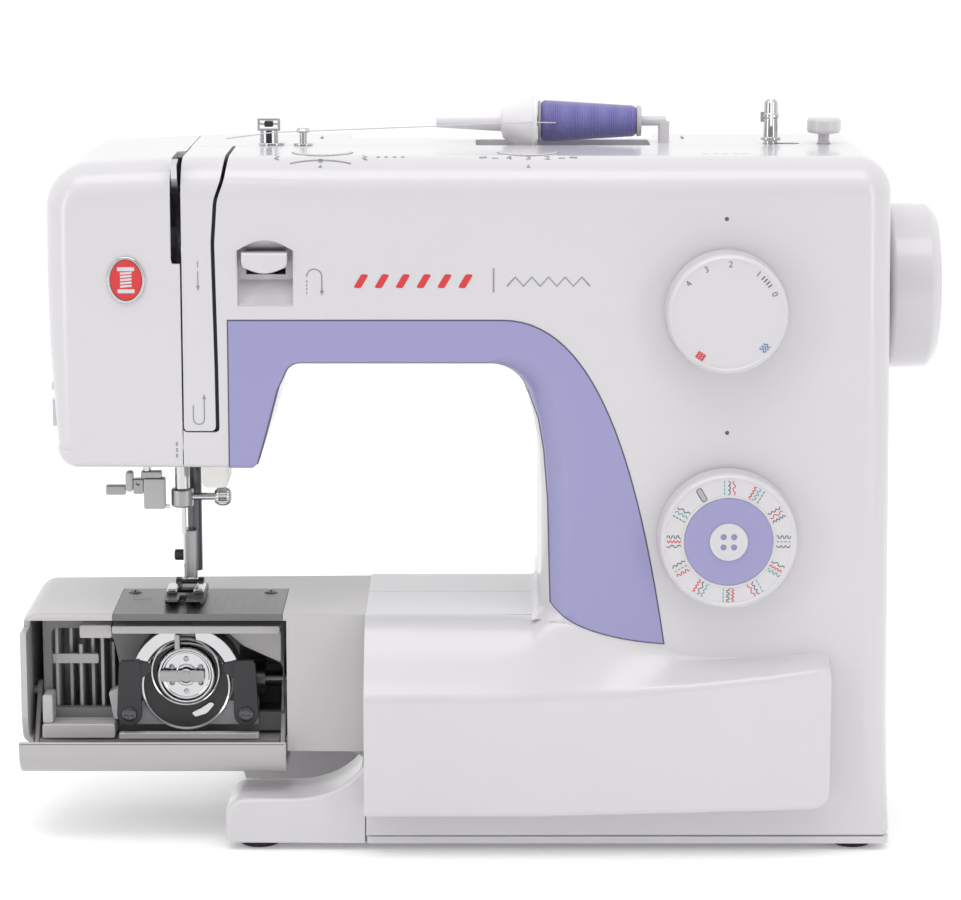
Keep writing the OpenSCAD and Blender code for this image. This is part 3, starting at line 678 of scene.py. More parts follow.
# Sections of the front cover from left to right: x, the rear end of the top (y, z), the pull at
# that end (y, z), the pull near the ridge (y, z), and the ridge's height.
COVER_SECTIONS = [
    (-48.1, -48.1, 96.0, -57.0, 96.0, -66.0, 79.5, 67.3), (8, -48.1, 96.0, -58.0, 96.0, -66.5, 80.0, 67.5),
    (19, -49.0, 96.0, -60.5, 96.0, -68.0, 81.0, 67.8), (24, -56.5, 96.0, -62.8, 96.1, -68.6, 81.0, 68.0),
    (31, -61.6, 95.8, -63.2, 95.0, -68.8, 80.5, 68.3), (41, -61.8, 93.5, -63.2, 91.5, -68.8, 79.5, 68.7),
    (50, -61.8, 90.5, -63.0, 88.5, -68.6, 78.5, 69.3), (60, -61.8, 88.4, -62.8, 85.0, -68.2, 77.5, 70.2),
    (73, -61.8, 87.0, -62.4, 83.0, -67.6, 77.8, 71.6), (80, -61.8, 84.0, -62.2, 81.0, -66.9, 77.5, 72.4),
    (90, -61.8, 82.2, -62.2, 80.0, -66.6, 77.7, 73.6), (115, -61.8, 81.6, -62.2, 80.6, -66.8, 79.2, 76.6),
    (141, -61.8, 83.8, -62.2, 83.2, -67.2, 82.6, 80.4),
]


RIDGE_ROUND = 2.6


def cover_section(x):
    """The section's numbers at x, eased between the listed ones."""
    for a, b in zip(COVER_SECTIONS, COVER_SECTIONS[1:]):
        if x <= b[0]:
            t = (x - a[0]) / (b[0] - a[0])
            return [p + (q - p) * t for p, q in zip(a, b)][1:]
    return COVER_SECTIONS[-1][1:]


def cover_ring(x, front_y, low_z, drop=0.0):
    """Closed section at x: flat front, rounded ridge, then a top that bends up to the housing."""
    end_y, end_z, hold_y, hold_z, pull_y, pull_z, ridge = cover_section(x)
    ridge -= drop
    rear = -48.1 if end_y > -58 else -59.8
    ring = [(rear, low_z)]
    for k in range(7):
        a = math.pi / 2 * k / 6
        ring.append((front_y + 2.5 * (1 - math.sin(a)), low_z + 2.5 * (1 - math.cos(a))))
    slope = Vector((pull_y - front_y, pull_z - drop - ridge)).normalized()
    here = Vector((front_y, ridge))
    below = here - Vector((0, RIDGE_ROUND))
    start = here + slope * RIDGE_ROUND
    for k in range(9):
        t = k / 8
        q = below * (1 - t) ** 2 + here * (2 * t * (1 - t)) + start * t * t
        ring.append((q.x, q.y))
    top = bezier(start, (pull_y, pull_z - drop), (hold_y, hold_z - drop), (end_y, end_z - drop * 0.5), 14)
    ring += flat(top[1:])
    ring.append((rear - 0.1 if rear > -50 else rear, end_z - drop * 0.5 - 0.3))
    return [(x, y, z) for y, z in ring]


def base_front_cover():
    """The bulge in front of the base; it climbs to the right and ends in a rounded corner."""
    end = mm_box("front_base_cover")[1].x
    corner = 6.0
    steps = int((end - corner + 45) / 3) + 1
    places = [-48.1 + 0.9 * k for k in range(3)] + [-45 + 3 * k for k in range(steps)]
    rings = [cover_ring(x, BASE_FRONT, 18 + 3 * max(0, x - 23) / 115) for x in places]
    last = places[-1]
    for k in range(1, 9):
        a = math.pi / 2 * k / 8
        x = last + (end - last) * math.sin(a)
        off = 1 - math.cos(a)
        rings.append(cover_ring(x, BASE_FRONT + 5 * off, 21 + 5 * off, 5 * off))
    body = loft("base_front_cover", rings)
    return finish_piece(body, "base_front_cover", WHITE, replaces=["front_base_cover"], smooth=28)


def feet():
    pads = []
    for x in (-92, 152):
        for y in (-50, 48):
            profile = [(0.2, 0), (0.2, 4.6), (0, 5.2), (0, 7.6), (FOOT_H, 8), (FOOT_H, 0)]
            pads.append(turned("pad", profile, (x, y), "z", 0.3, 48))
    return finish_piece(join("rubber_feet_pads", pads), "rubber_feet_pads", RUBBER, replaces=["rubber_feet"])


# ---- reverse key, dials and badge --------------------------------------------
def recess_outline(grow):
    x0, x1, z0, z1 = -97.8 - grow, -75.3 + grow, 225 - grow, 247.2 + grow * 0.5
    arch = [(x1 + (x0 - x1) * i / 14, z1 + 4.2 * math.sin(math.pi * i / 14), 0) for i in range(15)]
    return soften([(x0, z0, 0), (x1, z0, 0)], 0.1, n=1) + arch


def reverse_recess():
    """Scooped pocket round the reverse key."""
    body = prism("reverse_recess", recess_outline(1.2), -61.4, -51.5)
    scoop = prism("scoop", recess_outline(-0.2), -72, -53)
    side = [(-74, 224, 0), (-61.6, 225.4, 0), (-59.4, 226.6, 0), (-58.2, 228.4, 0), (-56.6, 232, 0),
            (-53.6, 234.6, 0), (-53.4, 247.7, 0), (-57.0, 247.9, 0), (-61.9, 251.7, 0), (-74, 256, 0)]
    boolean(scoop, prism("side", side, -110, -60, "x"), "INTERSECT")
    cut(body, scoop, far_box(-94.6, -78.8, -56.2, -50, 236.6, 246.6))
    return finish_piece(body, "reverse_recess", POCKET)


def reverse_key():
    low, high = mm_box("reverse_lever")
    bottom = [(low.x + 0.6 + (high.x - low.x - 1.2) * i / 12, 240.8 - 2.5 * math.sin(math.pi * i / 12), 1.2)
              for i in range(13)]
    front = bottom + [(high.x, 242.6, 1.2), (high.x, 246.6, 1.2), (low.x, 246.6, 1.2), (low.x, 242.6, 1.2)]
    body = prism("reverse_key", front, -65.4, -56.5, ends=(1.0, 0.3))
    arm = block("arm", (low.x + 2, -57, 241.5), (high.x - 2, -41, 246), 1, "y")
    pin = turned("pin", [(low.x, 2.6), (high.x, 2.6)], (-42, 244), "x", 0.4, 32)
    boolean(boolean(body, arm, "UNION"), pin, "UNION")
    return finish_piece(body, "reverse_key", WHITE, "reverse", replaces=["reverse_lever"])


def dial_knob(name, node, material, body, deep):
    """A round knob with a soft rim and a face sunk a little below it."""
    low, high = mm_box(node)
    c = (low + high) / 2
    r = (high.x - low.x) / 2
    front = low.y
    back = FRONT_Y - 0.35
    profile = [(back, 3.9), (back, r), (front + 1.2, r - 0.7), (front, r - 1.9), (front, r - 2.4)]
    profile += [(front + deep, r - 3.0), (front + deep, 0)]
    rounded = flat(soften(profile, 0.9, closed=False, n=5))
    knob = lathe(name, [(back, 0)] + rounded, (c.x, c.z), "y", 160)
    stem = turned("stem", [(back - 1, 4), (-46, 4)], (c.x, c.z), "y", 0, 32)
    boolean(knob, stem, "UNION")
    finish_piece(knob, name, material, body, replaces=[node], slot="white_plastic", smooth=30)
    return c, r, front + deep


class Ink:
    """Collects thin printed marks of one colour on one surface."""

    def __init__(self):
        self.mesh = bmesh.new()

    def add(self, obj, place):
        obj.data.transform(place)
        self.mesh.from_mesh(obj.data)
        bpy.data.objects.remove(obj)

    def line(self, points, width, place, closed=False):
        """A ribbon along (u, v) points; the print is 0.1 mm thick."""
        if closed:
            points = list(points) + [points[0]]
        rings = []
        for i, p in enumerate(points):
            before = Vector(points[max(i - 1, 0)][:2])
            after = Vector(points[min(i + 1, len(points) - 1)][:2])
            if closed and i in (0, len(points) - 1):
                before, after = Vector(points[-2][:2]), Vector(points[1][:2])
            along = (after - before).normalized()
            side = Vector((-along.y, along.x)) * width / 2
            q = Vector(p[:2])
            rings.append([(q.x - side.x, q.y - side.y, -0.05), (q.x + side.x, q.y + side.y, -0.05),
                          (q.x + side.x, q.y + side.y, 0.05), (q.x - side.x, q.y - side.y, 0.05)])
        self.add(loft("ribbon", rings), place)

    def shape(self, points, place):
        self.add(prism("shape", points, -0.05, 0.05, "z"), place)

    def text(self, words, size, place):
        curve = bpy.data.curves.new("mark", "FONT")
        curve.body = words
        curve.size = size * MM
        curve.extrude = 0.05 * MM
        curve.align_x = "CENTER"
        curve.align_y = "CENTER"
        curve.resolution_u = 4
        obj = linked("mark", curve)
        graph = bpy.context.evaluated_depsgraph_get()
        mesh = bpy.data.meshes.new_from_object(obj.evaluated_get(graph))
        bpy.data.objects.remove(obj)
        mesh.transform(place)
        self.mesh.from_mesh(mesh)

    def piece(self, name, material, body="housing"):
        mesh = bpy.data.meshes.new(name)
        self.mesh.to_mesh(mesh)
        self.mesh.free()
        return finish_piece(linked(name, mesh), name, material, body)


def on_front(x, y, z):
    """Matrix that lays marks on a surface facing -Y."""
    return Matrix.Translation(Vector((x, y, z)) * MM) @ Matrix.Rotation(math.pi / 2, 4, "X")


def on_top(z):
    return Matrix.Translation(Vector((0, 0, z)) * MM)


def on_shoulder(x, d):
    """Lays marks on the rounded top edge, d in front of where the rounding starts."""
    fall = max(d, 0)
    z = TOP_Z - (TOP_RIM - math.sqrt(TOP_RIM ** 2 - fall ** 2))
    return (Matrix.Translation(Vector((x, FRONT_Y + TOP_RIM - d, z)) * MM)
            @ Matrix.Rotation(math.asin(fall / TOP_RIM), 4, "X"))


def moved(u, v=0.0):
    """Matrix that moves marks along their own surface."""
    return Matrix.Translation(Vector((u, v, 0)) * MM)


def polar(place, angle, radius):
    """`place` moved out to a radius at an angle from the top, clockwise."""
    a = math.radians(angle)
    return place @ moved(math.sin(a) * radius, math.cos(a) * radius) @ Matrix.Rotation(-a, 4, "Z")


def stitch_points(kind, length):
    """One row of stitches along +V, about `length` long."""
    n = 24
    points = []
    for i in range(n + 1):
        t = i / n
        v = (t - 0.5) * length
        swing = {"zigzag": (abs((t * 4) % 1 - 0.5) - 0.25) * 2.2,
                 "wave": 0.5 * math.sin(t * math.pi * 4),
                 "scallop": abs(math.sin(t * math.pi * 3)) * 0.9 - 0.4,
                 "box": 0.5 if int(t * 6) % 2 else -0.5,
                 "straight": 0.0}[kind]
        points.append((swing, v))
    return points


def stitch_dial():
    c, r, face = dial_knob("stitch_dial", "stitch_dial_knob", WHITE, "stitch_selector", 0.6)
    disc_r = 17.7
    disc = turned("disc", [(face + 0.5, 0), (face + 0.5, disc_r), (face - 0.5, disc_r), (face - 0.7, 0)],
                  (c.x, c.z), "y", 0.35, 128)
    finish_piece(disc, "stitch_dial_disc", LILAC, "stitch_selector")
    section = [(face + 0.3, disc_r + 0.1), (face + 0.3, disc_r + 1.1), (face - 0.35, disc_r + 1.0),
               (face - 0.35, disc_r + 0.2)]
    ring = turned("ring", section, (c.x, c.z), "y", 0.2, 128, True)
    finish_piece(ring, "stitch_dial_ring", WHITE, "stitch_selector")
    button_emblem(c, face - 0.7, 7.6)
    inks = {"red": (Ink(), RED_INK), "teal": (Ink(), TEAL_INK), "grey": (Ink(), INK)}
    kinds = ["straight", "zigzag", "scallop", "box", "wave"]
    colours = ["teal", "grey", "red", "teal", "grey", "red", "grey"]
    middle = (disc_r + 1.1 + r - 3.2) / 2
    centre = on_front(c.x, face, c.z)
    for k in range(12):
        place = polar(centre, 30 * k, middle)
        rows = 1 if k == 11 else 3
        for row in range(rows):
            ink, _ = inks["grey" if rows == 1 else colours[(2 * k + row) % len(colours)]]
            kind = kinds[(k + row * 2) % len(kinds)]
            shift = moved((row - (rows - 1) / 2) * 1.9)
            if rows == 1:
                loop = rectangle(-1.1, -2.8, 1.1, 2.8, 1.0)
                ink.line(flat(loop), 0.35, place, closed=True)
                for j in range(9):
                    ink.line([(-0.9, -2.2 + 0.55 * j), (0.9, -2.2 + 0.55 * j)], 0.16, place)
            elif kind == "straight":
                for j in range(4):
                    ink.line([(0, -2.7 + 1.5 * j), (0, -1.7 + 1.5 * j)], 0.42, place @ shift)
            else:
                ink.line(stitch_points(kind, 5.6), 0.38, place @ shift)
    for name, (ink, material) in inks.items():
        ink.piece("stitch_signs_" + name, material, "stitch_selector")


def button_emblem(c, y, size):
    """A plain four-hole button as the disc's generic mark."""
    disc = turned("button", [(y - 0.45, 0), (y - 0.45, size - 2.2), (y - 0.75, size - 1.2), (y - 0.6, size),
                             (y + 0.2, size), (y + 0.2, 0)], (c.x, c.z), "y", 0.3, 96)
    for sx in (-1, 1):
        for sz in (-1, 1):
            cut(disc, turned("hole", [(y - 2, 1.25), (y + 0.1, 1.25)],
                             (c.x + 2.1 * sx, c.z + 2.1 * sz), "y", 0, 24))
    finish_piece(disc, "stitch_dial_button", WHITE, "stitch_selector")


def length_dial():
    c, r, face = dial_knob("length_dial", "length_dial_knob", WHITE, "length_selector", 0.6)
    ink, red, blue = Ink(), Ink(), Ink()
    centre = on_front(c.x, face, c.z)
    ring = r - 4.6
    for words, angle in (("4", -52), ("3", -26), ("2", 2), ("1", 36), ("0", 66)):
        ink.text(words, 3.6, polar(centre, angle, ring))
    for k in range(4):
        ink.line([(0, -1.0), (0, 1.0)], 0.5, polar(centre, 43 + 4 * k, ring))
    for sign, kind, angle in ((red, "zigzag", 213), (blue, "wave", 132)):
        for k in (-1, 0, 1):
            sign.line(stitch_points(kind, 3.4), 0.45, polar(centre, angle, ring) @ moved(k * 1.2))
    ink.piece("length_numerals", INK, "length_selector")
    red.piece("length_mark_red", RED_INK, "length_selector")
    blue.piece("length_mark_blue", BLUE_INK, "length_selector")


def front_marks():
    """Index dots, the reverse sign, thread arrows and a plain stitched line."""
    face = FRONT_Y - 0.02
    ink, soft, red = Ink(), Ink(), Ink()
    for x, z in ((96.5, 259.8), (97.7, 173.8)):
        ink.shape(circle(0, 0, 0.85, 20), on_front(x, face, z))
    place = on_front(-67.1, face, 234.6)
    hook = [(-2.9, 0)] + flat(arc(0.1, 2.2, 3.0, 180, 0, 12)) + [(3.1, -3.6)]
    soft.line(hook[1:], 0.55, place)
    for k in range(4):
        soft.line([(-2.9, -0.2 - 1.5 * k), (-2.9, 0.7 - 1.5 * k)], 0.5, place)
    soft.shape([(2.2, -3.4), (4.0, -3.4), (3.1, -5.4)], place)
    place = on_front(-113.2, face, 0)
    soft.line([(0, 233), (0, 239)], 0.45, place)
    soft.shape([(-0.8, 233.2), (0.8, 233.2), (0, 231)], place)
    soft.line([(0, 240.5), (0, 243)], 0.4, place)
    place = on_front(-113.6, face, 181.5)
    cup = [(-2.2, 3.5)] + flat(arc(0, -2, 2.2, 180, 360, 10)) + [(2.2, 6.2)]
    soft.line(cup, 0.5, place)
    soft.shape([(1.4, 6), (3.0, 6), (2.2, 8.2)], place)
    for k in range(3):
        soft.line([(0, 168.5 - 2.4 * k), (0, 170.1 - 2.4 * k)], 0.8, on_front(-122.6, face, 0))
    for k in range(6):
        leaf = [(-51.5, -2.6), (-48.6, -2.9), (-45.4, 2.6), (-48.3, 2.9)]
        red.shape(soften([(u + 8.3 * k, v) for u, v in leaf], 0.9, n=4), on_front(0, face, 235.0))
    soft.line([(4.2, 230.5), (4.2, 240.2)], 0.7, on_front(0, face, 0))
    zig = [(9.5 + 3.3 * k, 233.0 + 3.6 * (k % 2)) for k in range(11)]
    soft.line(zig, 0.75, on_front(0, face, 0))
    ink.piece("index_dots", INK)
    soft.piece("pale_signs", SOFT_INK)
    red.piece("stitched_line", RED_INK)


def badge():
    """Oval enamel badge with a plain spool sign."""
    def oval(a, b, w=0.0):
        return [(BADGE.x + a * math.cos(t * math.pi / 48), BADGE.z + b * math.sin(t * math.pi / 48), w)
                for t in range(96)]
    y = FRONT_Y
    rim = prism("badge_rim", oval(7.6, 9.4, 0.7), y - 1.1, y + 1, ends=(1, 0))
    cut(rim, prism("hole", oval(6.5, 8.3), y - 3, y - 0.3))
    finish_piece(rim, "badge_rim", CHROME)
    enamel = prism("badge_enamel", oval(6.45, 8.25, 0.5), y - 0.85, y - 0.1, ends=(1, 0))
    finish_piece(enamel, "badge_enamel", RED_INK, slot="white_plastic")
    sign = Ink()
    place = on_front(BADGE.x, y - 0.87, BADGE.z)
    for v in (-4.4, 4.4):
        sign.shape(rectangle(-3.4, v - 0.8, 3.4, v + 0.8, 0.5), place)
    for k in range(5):
        sign.line([(-2.3, -2.6 + 1.3 * k), (2.3, -2.2 + 1.3 * k)], 0.85, place)
    sign.piece("badge_spool_sign", WHITE)


# ---- top of the machine ------------------------------------------------------
def thumb_wheel(node, body):
    """Flat wheel with ribs round its edge; gives back its middle."""
    teeth, segments, rib, bottom = 40, 240, 0.22, 266
    low, high = mm_box(node)
    c = (low + high) / 2
    r = (high.x - low.x) / 2
    profile = soften([(bottom, r), (high.z, r), (high.z, 0)], 0.5, closed=False, n=4)
    rings = []
    for z, radius, _ in [(bottom, 0, 0)] + profile:
        depth = rib if radius > r - 1.0 else 0
        ring = []
        for a in full_turn(segments):
            rr = max(radius - depth * (1 - math.cos(a * teeth)), 0.004)
            ring.append((c.x + rr * math.cos(a), c.y + rr * math.sin(a), z))
        rings.append(ring)
    name = node + "_wheel"
    finish_piece(loft(name, rings), name, WHITE, body, replaces=[node])
    return c


def top_dials():
    ink = Ink()
    for node, body in (("width_dial", "width"), ("tension_dial", "tension")):
        c = thumb_wheel(node, body)
        if node == "width_dial":
            ink.line(flat(arc(0, -30, 31, 113, 67, 16)), 0.9, on_shoulder(c.x, 7.4))
            ink.shape(rectangle(-0.9, -0.6, 0.9, 1.8, 0.5), on_shoulder(c.x, 7.4))
            for sign in (-1, 1):
                zig = [(sign * 17.5 + 0.9 * (-1) ** k, -3.4 + 1.7 * k) for k in range(4)]
                ink.line(zig, 0.6, on_shoulder(c.x, 3.2))
        else:
            for k, digit in enumerate("432"):
                ink.text(digit, 5.4, on_shoulder(c.x + 7.6 * (k - 1), 4.4))
            for sign in (-1, 1):
                ink.line([(sign * 12.0, 0), (sign * 14.6, 0)], 0.7, on_shoulder(c.x, 4.6))
                ink.line([(sign * 16.5, 0.6), (sign * 19.5, 0)], 1.5, on_shoulder(c.x, 4.2))
        ink.shape([(-0.8, -0.9), (0.8, -0.9), (0, 0.9)], on_shoulder(c.x, 9.8))
    for x in (-41.7, -38.6, -35.2, -32.0):
        ink.shape(circle(0, 0, 0.75, 16), on_shoulder(x, 3.4))
    for x in (88, 92, 96, 100.5, 104):
        ink.line([(0, 0), (2.2, 0)], 0.7, on_shoulder(x, -6))
    ink.piece("top_scales", SOFT_INK)


def carry_handle():
    low, high = mm_box("carry_handle")
    plan = [(-68, 25.6), (84.3, 25.6), (84.3, 56), (72.3, 56), (72.3, 35), (-56, 35), (-56, 56), (-68, 56)]
    body = prism("carry_handle_bar", soften(plan, 2.5, n=4, w=1.4), 275, high.z, "z")
    for x0, x1 in ((low.x + 0.2, -67), (83.5, high.x - 0.2)):
        boolean(body, turned("pin", [(x0, 1.9), (x1, 1.9)], (52, 279), "x", 0, 24), "UNION")
    return finish_piece(body, "carry_handle_bar", WHITE, "handle", replaces=["carry_handle"])


def thread_parts():
    cy, cz = SPOOL.y, SPOOL.z
    low, high = mm_box("thread_spool")
    section = [(low.x, 2.05), (low.x, 8.2), (low.x + 1.0, 8.6), (low.x + 1.4, 4.5), (high.x - 2.2, 4.2),
               (high.x - 1.8, 6.5), (high.x, 6.2), (high.x, 2.05)]
    core = turned("core", section, (cy, cz), "x", 0.3, 72, True)
    finish_piece(core, "spool_core", GREY, "spool", replaces=["thread_spool"])
    profile = [(low.x + 1.2, 4.3)]
    turns, start, end = 58, low.x + 1.3, high.x - 1.9
    for i in range(turns * 4 + 1):
        t = i / (turns * 4)
        x = start + (end - start) * t
        r = 8.75 - 2.45 * t + 0.10 * math.cos(2 * math.pi * i / 4)
        ease = min(1.0, t * 20, (1 - t) * 20)
        profile.append((x, r - 1.2 * (1 - ease) ** 2))
    profile.append((high.x - 1.85, 4.3))
    wound = lathe("wound_thread", profile, (cy, cz), "x", 72, True)
    finish_piece(wound, "wound_thread", THREAD, "spool", smooth=60)
    section = [(-17.0, 2.1), (-19.4, 2.1), (-19.4, 2.7), (7.6, 4.3), (8.2, 6.9), (20.6, 13.8),
               (20.9, 14.6), (22.3, 14.6), (22.3, 13.4), (21.6, 9.5), (21.6, 2.1)]
    cap = turned("spool_cap_cone", section, (cy, cz), "x", 0.5, 96, True)
    finish_piece(cap, "spool_cap_cone", LIT_CAP_WHITE, "cap", replaces=["spool_cap"])


def thread_guides():
    """Chrome frame with a dark square stud, and a small button beside it."""
    post = (-74, -2)
    foot = [(TOP_Z, 0), (TOP_Z, 5.4), (TOP_Z + 1, 5.2), (TOP_Z + 1, 0)]
    parts = [turned("foot", foot, (-87, 0), "z", 0.3, 48)]
    for x0, x1, half, z0, z1, r in ((-93.0, -91.8, 1.2, 289.4, 294.2, 0.4),
                                    (-84.6, -83.4, 1.2, 289.4, 294.2, 0.4),
                                    (-92.9, -83.5, 1.1, 289.3, 290.2, 0.3),
                                    (-92.9, -83.5, 1.1, 293.5, 294.3, 0.3)):
        parts.append(block("bar", (x0, -half, z0), (x1, half, z1), r))
    parts.append(turned("rod", [(-92, 0.5), (-84.4, 0.5)], (0, 292), "x", 0, 16))
    for x in (-91.2, -85.2):
        parts.append(turned("pin", [(TOP_Z, 0.8), (289.6, 0.8)], (x, 0), "z", 0, 20))
    foot = [(TOP_Z, 0), (TOP_Z, 4), (TOP_Z + 0.9, 3.8), (TOP_Z + 0.9, 0)]
    head = [(288.6, 0), (288.6, 2.6), (289.6, 3.0), (290.6, 2.2), (290.7, 0)]
    parts += [turned("foot", foot, post, "z", 0.3, 40),
              turned("post", [(TOP_Z, 1.5), (289.5, 1.5)], post, "z", 0, 24),
              turned("head", head, post, "z", 0.4, 40)]
    finish_piece(join("guide_frames", parts), "guide_frames", CHROME, replaces=["thread_guides"])
    stud = join("guide_stud", [block("nut", (-90.0, -2.0, 290.9), (-86.4, 2.0, 293.2), 0.6, "z", 0.4),
                               block("post", (-89.4, -1.4, TOP_Z), (-87.0, 1.4, 289.2), 0.5, "z", 0.2)])
    finish_piece(stud, "guide_stud", BLACK, slot="steel")


def winder_parts():
    c = (WINDER.x, WINDER.y)
    top = mm_box("winder_spindle")[1].z
    section = [(264, 0), (264, 2.9), (275.4, 2.9), (275.4, 7.9), (280, 7.9), (280, 2.9), (285, 2.9),
               (285, 4.2), (286.2, 4.2), (286.2, 3.1), (294, 2.9), (294.4, 3.3), (295.8, 3.3),
               (296.2, 2.9), (top - 1.2, 2.8), (top, 1.8), (top, 0)]
    body = turned("spindle", section, c, "z", 0.25, 64)
    cut(body, far_box(c[0] - 0.5, c[0] + 0.5, c[1] - 4, c[1] + 4, top - 11, top + 1))
    finish_piece(body, "winder_shaft", CHROME, "winder", replaces=["winder_spindle"])
    spring = block("spring", (c[0] - 4.3, c[1] - 0.6, 292.4), (c[0] - 2.6, c[1] + 0.6, 296.6), 0.5, "y")
    finish_piece(spring, "winder_clip", CHROME, "winder")
    stop = mm_centre("winder_stop")
    section = [(TOP_Z, 0), (TOP_Z, 3.2), (TOP_Z + 1, 2.4), (287.6, 2.3), (288, 6.6), (289.2, 7.1),
               (293.4, 7.0), (294.4, 6.0), (294.4, 0)]
    button = turned("stop", section, (stop.x, stop.y), "z", 0.7, 72)
    finish_piece(button, "winder_button", WHITE, replaces=["winder_stop"])


def handwheel():
    low, high = mm_box("handwheel")
    r = (high.z - low.z) / 2
    x1 = high.x
    profile = [(low.x, 3.9), (low.x, r - 2.4), (low.x + 1.6, r), (x1 - 6.4, r - 0.5), (x1 - 3.0, r - 4.2),
               (x1 - 3.0, 23), (x1 - 4.2, 22), (x1 - 4.2, 15.5), (x1 - 1.4, 14.2), (x1, 6), (x1, 0)]
    rounded = flat(soften(profile, 1.5, closed=False, n=6))
    wheel = lathe("handwheel_rim", [(low.x, 0)] + rounded, (WHEEL.y, WHEEL.z), "x", 160)
    grips = []
    for a in full_turn(60):
        y, z = WHEEL.y + (r + 0.45) * math.cos(a), WHEEL.z + (r + 0.45) * math.sin(a)
        grips.append(turned("groove", [(low.x + 3.5, 0.5), (x1 - 7.5, 0.5)], (y, z), "x", 0, 12))
    cut(wheel, join("grooves", grips))
    return finish_piece(wheel, "handwheel_rim", WHITE, "upper_drive", replaces=["handwheel"])


# ---- needle end --------------------------------------------------------------
def lamp_cover():
    low, high = mm_box("lamp")
    body = block("lamp_cover", low, high, 2.4, "y", 1.2)
    ribs = [far_box(low.x - 1, high.x + 1, y, y + 0.7, low.z - 1, low.z + 0.4)
            for y in [low.y + 3 + 2.2 * k for k in range(9)]]
    cut(body, join("ribs", ribs))
    return finish_piece(body, "lamp_cover", LENS, replaces=["lamp"])


def presser_foot():
    low, high = mm_box("presser_foot")
    sole = low.z
    cx = (low.x + high.x) / 2
    side = [(-4.5, sole + 0.1, 0), (-34, sole, 0), (-38, sole + 1.6, 0), (-37.6, sole + 2.6, 0),
            (-33, sole + 1.7, 0), (-26, sole + 2.2, 0), (-4.5, sole + 2.4, 0)]
    body = prism("presser_sole", soften(side, 0.9, n=4), low.x, high.x, "x")
    notch = [(-125.6, -42, 0), (-122.4, -42, 0), (-122.4, -27, 0), (-125.6, -27, 0)]
    hole = rectangle(-127.5, -22.5, -120.5, -17.5, 1.6)
    plan = soften([(low.x + 1, -38.5), (cx - 3, -38.5), (cx + 3, -38.5), (high.x - 1, -38.5), (high.x, -30),
                   (high.x, -4.3), (low.x, -4.3), (low.x, -30)], 1.5, n=4)
    boolean(body, prism("plan", plan, sole - 2, sole + 8, "z"), "INTERSECT")
    cut(body, prism("notch", notch, sole - 3, sole + 8, "z"), prism("hole", hole, sole - 3, sole + 8, "z"))
    for x in (-128.5, -119.2):
        ear = [(-14, 2), (-5.8, 2), (-7, 5.4), (-9, 6.1), (-12, 5.2)]
        ear = soften([(y, sole + z) for y, z in ear], 1, n=3)
        boolean(body, prism("ear", ear, x, x + 2.2, "x"), "UNION")
    pin = turned("pin", [(-128.4, 1), (-117.1, 1)], (-10, sole + 4.2), "x", 0.3, 24)
    boolean(body, pin, "UNION")
    finish_piece(body, "presser_sole", DARK_STEEL, "foot", replaces=["presser_foot"])
    shoulders = [block("shoulder", (x, -25.5, sole + 2.1), (x + 4.5, -13, sole + 4.4), 1.2, "y", 0.6)
                 for x in (low.x + 0.3, high.x - 4.8)]
    finish_piece(join("foot_shoulders", shoulders), "foot_shoulders", CHROME, "foot")


def ankle_and_screw():
    low, high = mm_box("presser_ankle")
    body = block("ankle", low, high, 1.3, "z", 0.5)
    cut(body, far_box(low.x + 1.4, high.x - 1.4, low.y - 1, low.y + 2.2, low.z - 1, low.z + 7))
    finish_piece(body, "ankle_block", STEEL, "presser_unit", replaces=["presser_ankle"])
    s_low, s_high = mm_box("foot_screw")
    c = ((s_low.y + s_high.y) / 2, (s_low.z + s_high.z) / 2)
    screw = turned("screw", [(s_low.x, 0), (s_low.x, 1.9), (s_low.x + 0.5, 2.3), (s_low.x + 3.8, 2.3),
                             (s_low.x + 4, 1.1), (s_high.x, 1.1), (s_high.x, 0)], c, "x", 0.25, 40)
    cut(screw, far_box(s_low.x - 1, s_low.x + 0.9, c[0] - 0.35, c[0] + 0.35, c[1] - 4, c[1] + 4))
    finish_piece(screw, "foot_screw_head", BLACK, "presser_unit", replaces=["foot_screw"], slot="steel")


def clamp_parts():
    low, high = mm_box("clamp_screw")
    c = ((low.y + high.y) / 2, (low.z + high.z) / 2)
    teeth, segments = 22, 132
    rings = []
    for x, r, rib in ((low.x, 1.5, 0), (high.x - 7.2, 1.5, 0), (high.x - 7.0, 2.6, 0),
                      (high.x - 6.0, 3.4, 0.1), (high.x - 4.6, 3.85, 0.16), (high.x - 3.0, 3.9, 0.16),
                      (high.x - 1.4, 3.4, 0.1), (high.x - 0.4, 2.5, 0), (high.x, 1.4, 0), (high.x, 0.01, 0)):
        ring = []
        for a in full_turn(segments):
            rr = r - rib * (1 - math.cos(teeth * a))
            ring.append((x, c[0] + rr * math.cos(a), c[1] + rr * math.sin(a)))
        rings.append(ring)
    screw = loft("clamp_knob", rings)
    finish_piece(screw, "clamp_knob", CHROME, "needle_unit", replaces=["clamp_screw"])
    low, high = mm_box("needle_clamp")
    c = ((low.x + high.x) / 2, (low.y + high.y) / 2)
    section = [(low.z, 1.2), (low.z, 4.2), (low.z + 0.6, 4.6), (high.z - 0.6, 4.6), (high.z, 4.1),
               (high.z, 3.15), (138, 3.15), (138, 1.2)]
    body = turned("clamp", section, c, "z", 0.25, 64, True)
    finish_piece(body, "clamp_collar", STEEL, "needle_unit", replaces=["needle_clamp"])


